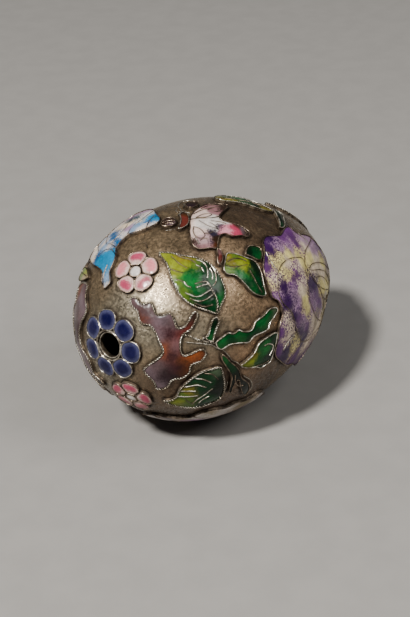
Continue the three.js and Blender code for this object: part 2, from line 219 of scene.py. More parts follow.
# How far flat points are from a line, whose last point joins its first if it is closed.
def distanceTo(flat, line, closed):
    starts = line if closed else line[:-1]
    ends = np.roll(line, -1, axis=0) if closed else line[1:]
    nearest = np.full(len(flat), 1e9)
    for first in range(0, len(starts), batch):
        a, b = starts[first : first + batch], ends[first : first + batch]
        run = b - a
        share = ((flat[:, None] - a) * run).sum(2) / np.maximum((run**2).sum(1), 1e-12)
        gap = flat[:, None] - a - np.clip(share, 0, 1)[..., None] * run
        nearest = np.minimum(nearest, np.sqrt((gap**2).sum(2)).min(1))
    return nearest


def isInside(flat, outline):
    ahead = np.roll(outline, -1, axis=0)
    inside = np.zeros(len(flat), bool)
    for (ax, ay), (bx, by) in zip(outline, ahead):
        crosses = (ay > flat[:, 1]) != (by > flat[:, 1])
        if crosses.any():
            x = ax + (flat[:, 1] - ay) / (by - ay + 1e-15) * (bx - ax)
            inside ^= crosses & (flat[:, 0] < x)
    return inside


def smoothStep(low, high, value):
    share = np.clip((value - low) / (high - low), 0, 1)
    return share * share * (3 - 2 * share)


def addObject(name, data):
    made = bpy.data.objects.new(name, data)
    bpy.context.scene.collection.objects.link(made)
    return made


def meshFrom(name, points, faces, materials, faceMaterials=None):
    mesh = bpy.data.meshes.new(name)
    mesh.from_pydata((np.asarray(points) * millimetre).tolist(), [], faces)
    for material in materials:
        mesh.materials.append(material)
    if faceMaterials is not None:
        mesh.polygons.foreach_set("material_index", np.asarray(faceMaterials, np.int32))
    mesh.polygons.foreach_set("use_smooth", np.ones(len(mesh.polygons), bool))
    mesh.update()
    return addObject(name, mesh)


def addColour(piece, name, colours):
    rgba = np.concatenate([colours, np.ones((len(colours), 1))], 1).astype(np.float32)
    attribute = piece.data.attributes.new(name, "FLOAT_COLOR", "POINT")
    attribute.data.foreach_set("color", rgba.ravel())


def addValue(piece, name, values):
    attribute = piece.data.attributes.new(name, "FLOAT", "POINT")
    attribute.data.foreach_set("value", np.asarray(values, np.float32))


# Materials. Each is a short chain of nodes, written with these helpers.
class Recipe:
    def __init__(self, name):
        self.material = bpy.data.materials.new(name)
        self.material.use_nodes = True
        self.nodes = self.material.node_tree.nodes
        self.links = self.material.node_tree.links
        self.shader = self.nodes["Principled BSDF"]
        self.coordinates = self.add("ShaderNodeTexCoord").outputs["Object"]

    def add(self, kind, **settings):
        node = self.nodes.new(kind)
        for key, value in settings.items():
            setattr(node, key, value)
        return node

    def plug(self, value, socket):
        if isinstance(value, bpy.types.NodeSocket):
            self.links.new(value, socket)
        elif value is not None:
            socket.default_value = value

    def noise(self, sizeMm, detail=2.0, roughness=0.5):
        node = self.add("ShaderNodeTexNoise")
        self.plug(self.coordinates, node.inputs["Vector"])
        node.inputs["Scale"].default_value = 1 / (sizeMm * millimetre)
        node.inputs["Detail"].default_value = detail
        node.inputs["Roughness"].default_value = roughness
        return node.outputs["Fac"]

    def cells(self, sizeMm):
        node = self.add("ShaderNodeTexVoronoi")
        self.plug(self.coordinates, node.inputs["Vector"])
        node.inputs["Scale"].default_value = 1 / (sizeMm * millimetre)
        return node.outputs["Distance"]

    def attribute(self, name, output="Color"):
        return self.add("ShaderNodeAttribute", attribute_name=name).outputs[output]

    # A smooth step: below the first number it gives one value, above the second the other.
    def spread(self, value, between, give=(0.0, 1.0)):
        node = self.add("ShaderNodeMapRange", interpolation_type="SMOOTHSTEP")
        self.plug(value, node.inputs["Value"])
        for socket, number in zip(("From Min", "From Max", "To Min", "To Max"), (*between, *give)):
            node.inputs[socket].default_value = number
        return node.outputs["Result"]

    # Noise, or round spots, spread as a look's entry says.
    def layer(self, sizeMm, between, give=(0.0, 1.0), detail=2.0, roughness=0.5, spots=False):
        pattern = self.cells(sizeMm) if spots else self.noise(sizeMm, detail, roughness)
        return self.spread(pattern, between, give)

    def maths(self, operation, a, b):
        node = self.add("ShaderNodeMath", operation=operation)
        self.plug(a, node.inputs[0])
        self.plug(b, node.inputs[1])
        return node.outputs[0]

    def mix(self, share, a, b, blend="MIX"):
        node = self.add("ShaderNodeMix", data_type="RGBA", blend_type=blend)
        self.plug(share, node.inputs[0])
        self.plug(a, node.inputs[6])
        self.plug(b, node.inputs[7])
        return node.outputs[2]

    def bump(self, height, heightMm, strength=1.0, below=None):
        node = self.add("ShaderNodeBump")
        self.plug(height, node.inputs["Height"])
        node.inputs["Distance"].default_value = heightMm * millimetre
        node.inputs["Strength"].default_value = strength
        if below is not None:
            self.plug(below, node.inputs["Normal"])
        return node.outputs["Normal"]

    def noiseBump(self, sizeMm, heightMm, strength, detail=2.0, roughness=0.5, below=None):
        return self.bump(self.noise(sizeMm, detail, roughness), heightMm, strength, below)

    def surface(self, **values):
        for name, value in values.items():
            self.plug(value, self.shader.inputs[socketNames[name]])
        return self.material


socketNames = {
    "colour": "Base Color", "metallic": "Metallic", "roughness": "Roughness", "normal": "Normal",
    "ior": "IOR", "specular": "Specular IOR Level",
}


def tint(name, gain=1.0):
    return tuple(linearColour(name) * gain) + (1.0,)


grimeRoughness = 0.3
enamelLook = {
    "grain": {"sizeMm": 0.5, "detail": 3, "roughness": 0.7, "between": (0.42, 0.58)},
    "cloud": {"sizeMm": 2.6, "detail": 4, "between": (0.3, 0.7), "give": (0.48, 0.74)},
    "mottle": {"sizeMm": 0.55, "roughness": 0.8, "between": (0.35, 0.65), "give": (0.86, 1.1)},
    "pits": {"sizeMm": 1.1, "spots": True, "between": (0.08, 0.16), "give": (1.0, 0.0)},
    "pitted": {"sizeMm": 3.1, "between": (0.52, 0.6)},
    "pitDark": 0.55,
    "grimy": {"sizeMm": 0.9, "detail": 3, "between": (0.3, 0.7), "give": (0.35, 0.95)},
    "grimeTone": 0.6,
    "gloss": {"sizeMm": 1.7, "detail": 3, "between": (0.3, 0.7), "give": (0.14, 0.3)},
    "lumps": {"sizeMm": 1.4, "detail": 1, "heightMm": 0.12, "strength": 0.5},
    "ripples": {"sizeMm": 0.45, "heightMm": 0.02, "strength": 0.5},
    "pitBump": {"heightMm": 0.05, "strength": 0.8},
    "ior": 1.52,
    "specular": 0.17,
}


# Glassy enamel. Its grains choose between the two colour layers that the mesh carries.
def enamelMaterial(name, changes):
    look = {key: {**value, **changes[key]} if key in changes else value for key, value in enamelLook.items()}
    recipe = Recipe(name)
    grain = recipe.layer(**look["grain"])
    colour = recipe.mix(grain, recipe.attribute("paintLow"), recipe.attribute("paintHigh"))
    colour = recipe.mix(1.0, colour, recipe.layer(**look["cloud"]), "MULTIPLY")
    colour = recipe.mix(1.0, colour, recipe.layer(**look["mottle"]), "MULTIPLY")
    pitted = recipe.maths("MULTIPLY", recipe.layer(**look["pits"]), recipe.layer(**look["pitted"]))
    colour = recipe.mix(recipe.maths("MULTIPLY", pitted, look["pitDark"]), colour, tint("darkBrown"))
    dirtAndShade = recipe.maths("MULTIPLY", recipe.attribute("dirtAndShade", "Fac"), recipe.layer(**look["grimy"]))
    colour = recipe.mix(dirtAndShade, colour, tint("darkBrown", look["grimeTone"]))
    dulled = recipe.maths("MULTIPLY", dirtAndShade, grimeRoughness)
    rough = recipe.maths("ADD", recipe.layer(**look["gloss"]), dulled)
    lumpy = recipe.noiseBump(**look["ripples"], below=recipe.noiseBump(**look["lumps"]))
    normal = recipe.bump(recipe.maths("SUBTRACT", 1.0, pitted), **look["pitBump"], below=lumpy)
    return recipe.surface(colour=colour, roughness=rough, normal=normal, ior=look["ior"],
                          specular=look["specular"])


leafEnamel = enamelMaterial("leafEnamel", {})
petalEnamel = enamelMaterial("petalEnamel", {"grain": {"sizeMm": 0.35}, "cloud": {"give": (0.56, 0.74)}})
peonyEnamel = enamelMaterial("peonyEnamel", {
    "grain": {"sizeMm": 0.4, "between": (0.43, 0.57)}, "cloud": {"give": (0.56, 0.82)},
    "gloss": {"give": (0.26, 0.44)},
})

groundLook = {
    "patches": {"sizeMm": 7.0, "detail": 5, "roughness": 0.6, "between": (0.3, 0.7), "give": (0.5, 0.92)},
    "grains": {"sizeMm": 0.7, "detail": 5, "roughness": 0.8, "between": (0.36, 0.64), "give": (0.66, 1.28)},
    "worn": {"sizeMm": 3.6, "detail": 6, "roughness": 0.75, "between": (0.56, 0.7)},
    "wear": 0.4,
    "specks": {"sizeMm": 0.75, "spots": True, "between": (0.1, 0.22), "give": (0.75, 0.0)},
    "speckled": {"sizeMm": 2.2, "between": (0.48, 0.58)},
    "grimy": {"sizeMm": 1.1, "detail": 3, "between": (0.25, 0.6), "give": (0.55, 1.0)},
    "grimeTone": 0.45,
    "gloss": {"sizeMm": 0.8, "detail": 5, "roughness": 0.7, "between": (0.37, 0.63), "give": (0.13, 0.52)},
    "lumps": {"sizeMm": 2.4, "heightMm": 0.12, "strength": 0.6},
    "dents": {"sizeMm": 0.9, "detail": 5, "roughness": 0.7, "heightMm": 0.13, "strength": 1.0},
    "metallic": 0.75,
}


# Old silvered brass: brown tarnish with fine bright grains, darker beside the relief, where tarnish and
# painted shade lie.
def groundMaterial():
    look, recipe = groundLook, Recipe("tarnishedGround")
    colour = recipe.mix(1.0, recipe.attribute("tone"), recipe.layer(**look["patches"]), "MULTIPLY")
    colour = recipe.mix(1.0, colour, recipe.layer(**look["grains"]), "MULTIPLY")
    worn = recipe.maths("MULTIPLY", recipe.layer(**look["worn"]), look["wear"])
    colour = recipe.mix(worn, colour, tint("greyCream"))
    specks = recipe.maths("MULTIPLY", recipe.layer(**look["specks"]), recipe.layer(**look["speckled"]))
    colour = recipe.mix(specks, colour, tint("darkBrown"))
    # Dark brown beside the relief and round the hole's ring: dirt, and painted shade where the relief meets
    # the ground.
    dirtAndShade = recipe.maths("MULTIPLY", recipe.attribute("dirtAndShade", "Fac"), recipe.layer(**look["grimy"]))
    colour = recipe.mix(dirtAndShade, colour, tint("darkBrown", look["grimeTone"]))
    dulled = recipe.maths("MULTIPLY", dirtAndShade, grimeRoughness)
    rough = recipe.maths("ADD", recipe.layer(**look["gloss"]), dulled)
    normal = recipe.noiseBump(**look["dents"], below=recipe.noiseBump(**look["lumps"]))
    return recipe.surface(colour=colour, roughness=rough, normal=normal, metallic=look["metallic"])


metalLook = {
    "worn": {"sizeMm": 1.6, "detail": 5, "roughness": 0.7},
    "wornEdge": 0.12,
    "crown": {"between": (0.3, 0.85)},      # tarnish and painted shade lie between twisted strands
    "creviceTarnishAndShade": 0.3,
    "speckle": {"sizeMm": 0.25, "between": (0.3, 0.7), "give": (0.8, 1.15)},
    "gloss": {"sizeMm": 0.7, "detail": 3, "between": (0.3, 0.7)},
    "glossBelow": 0.08,
    "glossAbove": 0.12,
    "scratches": {"sizeMm": 0.3, "detail": 3, "heightMm": 0.02, "strength": 0.5},
}


def metalMaterial(name, metal):
    look, recipe = metalLook, Recipe(name)
    edges = (metal["dullShare"] - look["wornEdge"], metal["dullShare"] + look["wornEdge"])
    worn = recipe.layer(**look["worn"], between=edges)
    colour = recipe.mix(worn, metal["dull"] + (1,), metal["bright"] + (1,))
    if metal.get("twisted"):
        # Darker between the twisted strands: tarnish and painted shade in the crevices.
        crown = recipe.spread(recipe.attribute("crown", "Fac"), **look["crown"])
        colour = recipe.mix(crown, tint("darkBrown", look["creviceTarnishAndShade"]), colour)
    colour = recipe.mix(1.0, colour, recipe.layer(**look["speckle"]), "MULTIPLY")
    gloss = (metal["roughness"] - look["glossBelow"], metal["roughness"] + look["glossAbove"])
    return recipe.surface(colour=colour, roughness=recipe.layer(**look["gloss"], give=gloss),
                          normal=recipe.noiseBump(**look["scratches"]), metallic=metal["metallic"])


tarnishedGround = groundMaterial()
metals = {
    "silverWire": {"bright": (0.8, 0.75, 0.65), "dull": (0.2, 0.155, 0.11), "dullShare": 0.48,
                   "roughness": 0.26, "metallic": 0.85},
    "ropeMetal": {"bright": (0.77, 0.71, 0.6), "dull": (0.26, 0.21, 0.15), "dullShare": 0.5,
                  "roughness": 0.25, "metallic": 0.85, "twisted": True},
    "greyWire": {"bright": (0.58, 0.54, 0.46), "dull": (0.15, 0.12, 0.09), "dullShare": 0.5,
                 "roughness": 0.28, "metallic": 0.85},
    "dullWire": {"bright": (0.4, 0.31, 0.23), "dull": (0.08, 0.055, 0.04), "dullShare": 0.5,
                 "roughness": 0.34, "metallic": 0.95},
    # Near-black metal: on the relief's sides it stands for tarnish and painted shade at the relief's foot; on
    # dark wires it is their own colour.
    "fenceMetal": {"bright": (0.16, 0.12, 0.08), "dull": (0.03, 0.02, 0.014), "dullShare": 0.5,
                   "roughness": 0.5, "metallic": 0.7},
    "insideMetal": {"bright": (0.12, 0.09, 0.06), "dull": (0.02, 0.015, 0.01), "dullShare": 0.5,
                    "roughness": 0.55, "metallic": 0.7},
}
metalNamed = {name: metalMaterial(name, metal) for name, metal in metals.items()}
print("materials made")

# Raised fields of enamel, each drawn flat about its own place on the egg.
reliefShape = {
    "edgeHeight": 0.5,       # enamel beside its wire
    "middleHeight": 0.74,    # enamel in the middle of a cell
    "domeWidth": 0.9,
    "seat": -0.08,           # how far it is sunk in the ground, so no gap shows
    "lumpHeight": 0.03,
    "lumpSize": 2.8,
    "lumpSeed": 21,
    "wireInset": 0.2,
    "wireHeight": 0.66,
    "wireWiggle": 0.03,
    "wiggleSize": 3.0,
    "wiggleSeed": 5,
    "cellInset": 0.12,
    "fine": 0.34,            # mesh step
    "farAway": 9.0,          # beyond this a wire makes no dip and no dirt
    "creaseAngle": 50,
}
# The dip in the enamel beside a wire that lies in it, and the dirt along the wires.
groove = {"depth": 0.07, "from": 0.45, "width": 0.25, "clearOfEdge": 0.5}
enamelDirt = {"edge": 0.8, "edgeWidth": 0.22, "wire": 0.55, "wireWidth": 0.3}
lineHeights = {"rope": 0.7, "silver": 0.7, "dull": 0.68, "dark": 0.68}
petalOverlap = 0.1
petalRoundness = 0.85


# One petal of a flower: round outside, and cut where it meets its neighbours.
def petalOutline(flower, i):
    turn = np.linspace(0, 2 * math.pi, drawingSteps["petal"], endpoint=False)
    x = flower["ring"] + flower["along"] * np.sign(np.cos(turn)) * np.abs(np.cos(turn)) ** petalRoundness
    y = flower["across"] * np.sign(np.sin(turn)) * np.abs(np.sin(turn)) ** petalRoundness
    limit = x * math.tan(math.pi / flower["petals"]) + petalOverlap
    y = np.clip(y, -limit, limit)
    angle = math.radians(flower["first"] + 360 / flower["petals"] * i)
    return np.stack([x * math.cos(angle) - y * math.sin(angle), x * math.sin(angle) + y * math.cos(angle)], 1)


def discOutline(radius):
    turn = np.linspace(0, 2 * math.pi, drawingSteps["disc"], endpoint=False)
    return radius * np.stack([np.cos(turn), np.sin(turn)], 1)


# A flower's outline in one line: round petals, with a waist between each two of them.
def flowerOutline(flower):
    count = flower["petals"] * drawingSteps["flowerPetal"]
    turn = 2 * math.pi * np.arange(count) / count
    rounded = np.abs(np.cos(turn * flower["petals"] / 2)) ** flower["roundness"]
    radius = flower["waist"] + (flower["tip"] - flower["waist"]) * rounded
    heading = turn + math.radians(flower["first"])
    return np.stack([radius * np.cos(heading), radius * np.sin(heading)], 1)


leafFullness = 0.8      # under 1, a leaf is widest before its middle


# A plain pointed leaf: a midrib bowed to one side.
def leafEdge(leaf, share, side):
    turn = math.radians(leaf["heading"])
    along, across = np.array([math.cos(turn), math.sin(turn)]), np.array([-math.sin(turn), math.cos(turn)])
    half = leaf["width"] / 2 * np.sin(math.pi * share**leafFullness)
    drift = leaf["bow"] * np.sin(math.pi * share)
    return (leaf["length"] * (share - 0.5))[:, None] * along + (drift + side * half)[:, None] * across


def leafOutline(leaf):
    steps = drawingSteps["leafSide"]
    share = np.arange(steps) / steps
    return np.concatenate([leafEdge(leaf, share, -1), leafEdge(leaf, share[::-1] + 1 / steps, 1)])


# How the paint's borders wander, how light a colour looks, and what a plain field has.
wandering = {"size": 2.6, "reach": 0.16, "seeds": (11, 12)}
lightness = np.array([0.3, 0.59, 0.11])
plainPaint = {"soft": 0.35, "grain": 0.25, "rimGrain": 0.3}


# Two colour layers for flat points: each mixes the nearest spots, and leans darker or lighter.
def paintLayers(flat, spots, rim, edgeDistance, soft, grain, spread):
    drift = np.stack([waves(flat, wandering["size"], seed) for seed in wandering["seeds"]], 1)
    moved = flat[:, None] + (drift * wandering["reach"])[:, None]
    colours = np.array([linearColour(name) for name in spots])
    light = colours @ lightness
    lean = np.sign(light - np.median(light))
    gaps = np.stack([np.linalg.norm(moved - np.array(places, float), axis=2).min(1)
                     for places in spots.values()], 1)
    gaps -= np.array([spread.get(name, 0) for name in spots])
    layers = []
    for side in (1, -1):
        reach = gaps + side * grain * lean
        weight = np.exp(-(reach - reach.min(1)[:, None]) / soft)
        layers.append(weight @ colours / weight.sum(1)[:, None])
    if rim:
        name, width, fade = rim
        for k, shift in ((0, grain * plainPaint["rimGrain"]), (1, -grain * plainPaint["rimGrain"])):
            share = 1 - smoothStep(width - fade, width + fade, edgeDistance + shift)
            layers[k] = layers[k] * (1 - share[:, None]) + linearColour(name) * share[:, None]
    return layers


rowShare = 0.866     # rows of even triangles
edgeShare = 0.6      # the least gap between an inner point and the outline


# One cell's triangles: its outline, and rows of points inside it.
def cellMesh(outline, fine):
    low, high = outline.min(0), outline.max(0)
    columns = np.arange(low[0], high[0], fine)
    rows = np.arange(low[1], high[1], fine * rowShare)
    x, y = np.meshgrid(columns, rows)
    x[1::2] += fine / 2
    inner = np.stack([x.ravel(), y.ravel()], 1)
    inner = inner[isInside(inner, outline)]
    inner = inner[distanceTo(inner, outline, True) > fine * edgeShare]
    count = len(outline)
    edges = [(i, (i + 1) % count) for i in range(count)]
    flat = [Vector(point) for point in np.concatenate([outline, inner])]
    points, _, faces, *_ = delaunay_2d_cdt(flat, edges, [], 1, 1e-5)
    return np.array([tuple(point) for point in points]), [list(face) for face in faces]


wireLines = {"rope": [], "silver": [], "fine": [], "dull": [], "dark": []}


def addWire(kind, place, line, closed, height):
    even = smoothLine(line, closed, drawingSteps["wire"])
    wiggle = waves(even, reliefShape["wiggleSize"], reliefShape["wiggleSeed"]) * reliefShape["wireWiggle"]
    wireLines[kind].append((onEgg(place, even, height + wiggle), closed))


# Each edge that only one of the faces has.
def openEdges(faces):
    borders = {}
    for face in faces:
        for a, b in zip(face, face[1:] + face[:1]):
            if (b, a) in borders:
                del borders[(b, a)]
            else:
                borders[(a, b)] = True
    return list(borders)


# A piece of enamel: domed cells with sides, their wires, and the dark mark of dirt and painted shade that
# they leave on the ground.
def enamelField(name, field, material, slot):
    place = field["place"]
    cells = field.get("cells") or [{"outline": field["outline"], "paint": field["paint"]}]
    allPoints, allFaces, faceKinds, low, high, dirtAndShade = [], [], [], [], [], []
    inner = [(kind, line) for kind in lineHeights for line in field.get(kind + "s", [])]
    start, outlines = 0, []
    for cell in cells:
        outline = cell["outline"]
        if not isinstance(outline, np.ndarray):
            outline = smoothLine(outline, True, drawingSteps["outline"])
        outline = anticlockwise(outline)
        outlines.append(outline)
        edge = inset(outline, reliefShape["cellInset"])
        flat, faces = cellMesh(edge, field.get("fine", reliefShape["fine"]))
        toEdge = distanceTo(flat, edge, True)
        toWire = np.full(len(flat), reliefShape["farAway"])
        for _, line in inner:
            drawn = smoothLine(line, False, drawingSteps["outline"])
            toWire = np.minimum(toWire, distanceTo(flat, drawn, False))
        rise = 1 - np.exp(-toEdge / reliefShape["domeWidth"])
        height = reliefShape["edgeHeight"] + (reliefShape["middleHeight"] - reliefShape["edgeHeight"]) * rise
        dip = groove["depth"] * np.exp(-((toWire - groove["from"]) / groove["width"]) ** 2)
        height -= dip * (toEdge > groove["clearOfEdge"])
        lumps = waves(flat, reliefShape["lumpSize"], reliefShape["lumpSeed"]) * reliefShape["lumpHeight"]
        height += lumps * rise
        top = onEgg(place, flat, height)
        bottom = onEgg(place, flat, reliefShape["seat"])
        layers = paintLayers(flat, cell["paint"], cell.get("rim"), toEdge,
                             field.get("soft", plainPaint["soft"]), field.get("grain", plainPaint["grain"]),
                             field.get("spread", {}))
        count = len(flat)
        allPoints += [top, bottom]
        borders = openEdges(faces)
        allFaces += [[start + i for i in face] for face in faces]
        allFaces += [[start + count + i for i in reversed(face)] for face in faces]
        allFaces += [[start + b, start + a, start + count + a, start + count + b] for a, b in borders]
        faceKinds += [0] * len(faces) + [1] * (len(faces) + len(borders))
        low += [layers[0], layers[0]]
        high += [layers[1], layers[1]]
        dirt = np.exp(-toEdge / enamelDirt["edgeWidth"]) * enamelDirt["edge"]
        dirt += np.exp(-(toWire / enamelDirt["wireWidth"]) ** 2) * enamelDirt["wire"]
        dirtAndShade += [np.clip(dirt, 0, 1), np.ones(count)]
        start += 2 * count
        addWire(cell.get("wire", field.get("wire", "rope")), place,
                inset(outline, reliefShape["wireInset"]), True, reliefShape["wireHeight"])
    # The sides and underside take the near-black fence metal: tarnish and painted shade at the relief's foot.
    materials = [material, metalNamed["fenceMetal"]]
    piece = meshFrom(name + "_enamel", np.concatenate(allPoints), allFaces, materials, faceKinds)
    piece.data.set_sharp_from_angle(angle=math.radians(reliefShape["creaseAngle"]))
    addColour(piece, "paintLow", np.concatenate(low))
    addColour(piece, "paintHigh", np.concatenate(high))
    addValue(piece, "dirtAndShade", np.concatenate(dirtAndShade))
    for kind, line in inner:
        addWire(kind, place, line, False, lineHeights[kind])
    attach(piece, "root")
    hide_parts(name)
    groundMarks.append((place, outlines))


groundMarks = []

# The hole's blue flower: seven petals round the ring.
blueFlower = {
    "place": (0, 0),
    "petals": 7,
    "first": 64.5,
    "ring": 6.5,
    "along": 2.75,
    "across": 3.0,
    "wire": "fine",
}
blueFlower["cells"] = [
    {
        "outline": petalOutline(blueFlower, i),
        "paint": {"navy": [(0, 0)]},
        "rim": ("slateBlue", 0.8, 0.8),
    }
    for i in range(blueFlower["petals"])
]
enamelField("blue_flower", blueFlower, petalEnamel, "enamel_blue")


blossomShape = {
    "ring": 3.66, "along": 2.16, "across": 2.6, "disc": 1.65,
    "colourAt": 4.1, "paleAt": 1.5, "rimWidth": 0.5, "rimFade": 0.4,
}


# Blossoms: five petals and a pale middle. Colours go round from the first petal.
def blossomCells(first, petalColours, scale=1.0):
    size = {key: value * scale for key, value in blossomShape.items()}
    flower = {"petals": len(petalColours), "first": first, **size}
    cells = [{"outline": discOutline(size["disc"]), "paint": {"white": [(0, 0)]}, "wire": "dull"}]
    for i, colour in enumerate(petalColours):
        turn = math.radians(first + 360 / len(petalColours) * i)
        outwards = np.array([math.cos(turn), math.sin(turn)])
        cells.append({
            "outline": petalOutline(flower, i),
            "paint": {colour: [size["colourAt"] * outwards], "blush": [size["paleAt"] * outwards]},
            "rim": ("blush", size["rimWidth"], size["rimFade"]),
            "wire": "dull",
        })
    return cells


blossoms = {
    "pink_blossom_upper": {
        "place": (34, 5),
        "cells": blossomCells(29, ["deepPink", "softPink", "deepPink", "salmon", "softPink"]),
    },
    "pink_blossom_lower": {
        "place": (27, 164),
        "cells": blossomCells(9, ["salmon", "deepPink", "deepPink", "deepPink", "salmon"]),
    },
    "back_blossom_high": {
        "place": (60, 286),
        "cells": blossomCells(50, ["deepPink", "softPink", "deepPink", "softPink", "salmon"]),
    },
    "back_blossom_low": {
        "place": (48, 218),
        "cells": blossomCells(12, ["softPink", "deepPink", "salmon", "deepPink", "softPink"]),
    },
    "tail_blossom": {
        "place": (180, 0),
        "cells": blossomCells(30, ["deepPink", "softPink", "deepPink", "softPink", "salmon"], scale=2.0),
    },
}
for name, blossom in blossoms.items():
    enamelField(name, blossom, petalEnamel, "enamel_pink")
print("flowers made")

purplePeony = {
    "place": (98, 72),
    "outline": [(-13, 11.5), (-11, 13.5), (-9.5, 15.5), (-7, 16.5), (-4, 16), (-1, 15.4), (3, 16.2),
                (7, 16), (8.5, 13.5), (12, 12), (16, 10), (19, 5.5), (20.5, 0), (18, -4), (14, -6.5),
                (12.5, -10), (12.5, -15), (9, -18.5), (4.5, -21.5), (0, -20.5), (-4, -18.5),
                (-8, -17.2), (-12, -14.5), (-15.3, -11), (-15, -7.5), (-14.5, -4.5), (-13, -1.5),
                (-13.6, 1), (-15.2, 2.5), (-15.3, 5), (-14.8, 9)],
    "paint": {
        "deepPurple": [(-6.2, 15.1), (-8.8, 12.4), (-12.4, 12), (-10.9, 4), (-10.4, 0.2), (-8.7, -3.8),
                       (-5.1, -8.8), (-2.8, -10.8), (-10.7, -12), (3.4, 0.9)],
        "purple": [(-0.8, 14), (4.5, 14.2), (3, 11.5), (-13.5, 8.8), (-14.5, 3.5), (-3.7, 5.4),
                   (-6, 4.4), (-6.7, -4.4), (-1.4, -8.4), (3.6, -2.3), (5.8, -4.9), (-13.5, -6.3),
                   (-5.7, -14.8), (2.1, -18.8), (17.5, 6.1), (-14, -10)],
        "lilac": [(-5.1, 13.1), (7.8, 11.4), (-0.8, 11.5), (-14.1, 2.1), (-7.2, 2.2), (-6.3, -1.8),
                  (-3.8, -6.4), (12.6, 8), (1.7, -3.5)],
        "cream": [(6.8, 10.2), (-12.6, 6), (-5.8, 8.2), (-1.7, 6.4), (-3.8, 1.8), (6.1, 4), (10.2, 4.1),
                  (-11, -5), (-11.3, -8.1), (1.3, -7.9), (10.5, -12.7), (0.4, -14.2), (11.8, 1.6),
                  (7.6, -10.4)],
        "butter": [(-7.2, 10.1), (-3.2, 10.1), (-9.6, 9.5), (0.7, 9.5), (5.7, 6.3), (14.5, 3.5),
                   (-7.3, 6.4), (-3.7, -2.4), (-2.3, -4.9), (-7.3, -11.3), (13.4, -2), (9.4, -1.6),
                   (1.3, 7), (-14.3, 5)],
        "greyCream": [(4.6, -7.7), (12.3, -4.9), (15.8, 0.1)],
        "greyPurple": [(19.2, 1.4), (7.6, -17), (10.9, -15.6), (-1, -17.4)],
        "olive": [(11.6, -7.5), (18.6, -2)],
    },
    "soft": 0.4,
    "grain": 0.85,
    "spread": {"deepPurple": 1.0, "purple": 0.75, "lilac": 0.2, "olive": -0.5},
    "wire": "dull",
    "darks": [
        [(-10.7, 7.5), (-8.5, 8.6), (-5.4, 9.2), (-1, 8.7), (2, 7.6), (1.9, 6.3)],
        [(-10.7, 7.5), (-12, 5.7), (-12.9, 3.3), (-12.6, 0.8), (-11.1, -1.1), (-9.5, -3), (-8.7, -5.4),
         (-7.4, -8.3), (-3.9, -11.8)],
        [(1.9, 6.3), (0.7, 4.3), (-0.3, 0.9), (-0.3, -2.4), (2.6, -6.6), (6, -8.8), (9.2, -10)],
        [(1.9, 6.3), (2.7, 4), (4.5, 1.3), (6.7, -0.9), (8.8, -3.7), (10.2, -6.3), (8.6, -8.7)],
        [(3.5, 4.8), (6.4, 5.1), (11.4, 4.1), (15.8, 2.4), (19.4, 0.2)],
        [(4.7, 3.9), (10.5, 2.5), (14.9, 0.7), (17.2, -1.4), (17.6, -3)],
        [(5.8, 1.8), (10, 1), (13.5, -0.7), (15.5, -2.6)],
        [(7.2, -0.9), (11.3, -2.6), (15.5, -3.6)],
        [(8.8, -3.7), (12.4, -5.3), (13.8, -4.6)],
        [(15.8, 9.6), (10.9, 9.3), (5.5, 8.6), (3.2, 7.4), (1.9, 6.3)],
    ],
    "dulls": [
        [(-3.9, -11.8), (1.1, -13), (6.7, -12.1), (11.6, -12.4)],
        [(-3.9, -11.8), (-6, -14), (-8.2, -16.2)],
    ],
    "silvers": [
        [(-11.1, 12.7), (-11.3, 11.3), (-11.2, 9.6), (-10.7, 7.5)],
        [(8.6, 13.1), (9.2, 12.4), (10.6, 9.7)],
        [(-12.3, -11.1), (-11.2, -9.5), (-8, -8.2)],
    ],
}
enamelField("purple_peony", purplePeony, peonyEnamel, "enamel_purple")

whitePeony = {
    "place": (64, 150),
    "outline": [(-13, -5), (-9.5, -1.5), (-6.8, 1.2), (-6.8, 4.4), (-4.3, 7), (-1.3, 8), (0.5, 9.8),
                (4.5, 10.3), (7.8, 12), (11.5, 10), (14, 5.5), (18, 2), (22, -2), (26, -6.5), (27, -12),
                (26, -18), (21, -20.5), (15, -20), (10.5, -21.5), (5, -19), (1, -18.5), (-3, -14.5),
                (-7, -13), (-12, -9.5)],
    "paint": {
        "white": [(-6, 3), (-1, 8), (11, 8), (5, 0), (-8, -6), (14, -12), (22, -8), (0, 3), (13, -5)],
        "greyCream": [(-5, 6), (4.5, 9), (-9, -1), (2, -8), (16, 0), (24, -15)],
        "lilac": [(-3, -3), (9, -16), (20, -14), (10, 3)],
        "greyMauve": [(6, -6), (-3, -12), (-9.5, -3.5)],
    },
    "soft": 0.6,
    "grain": 0.7,
    "wire": "dull",
    "dulls": [
        [(-6.8, 2), (-1, 1.5), (5, 4), (8, 8), (7.8, 11.8)],
        [(5, 4), (10, 2.5), (14, 4.5)],
        [(-12, -5), (-5, -5), (2, -3), (8, -3.5), (15, -7), (21, -4), (22, -2)],
        [(-7, -12.8), (-3, -8), (3, -6), (8, -3.5)],
        [(5, -18.8), (7, -13), (12, -10), (15, -7)],
        [(12, -10), (18, -12), (26, -11)],
        [(15, -19.8), (16, -15), (18, -12)],
    ],
}
enamelField("white_peony", whitePeony, peonyEnamel, "enamel_white")

# The back peony's curved wires, as distance and turn from each petal's middle line, and its round heart.
backCurve = ((3.4, -26), (5.6, -14), (8, -4), (10.2, 0))
backHeart = {"radius": 2.6, "squash": 0.85, "end": 6.1, "points": 12}


def aroundPlace(radius, turn, squash=1.0):
    return radius * math.cos(turn), radius * math.sin(turn) * squash


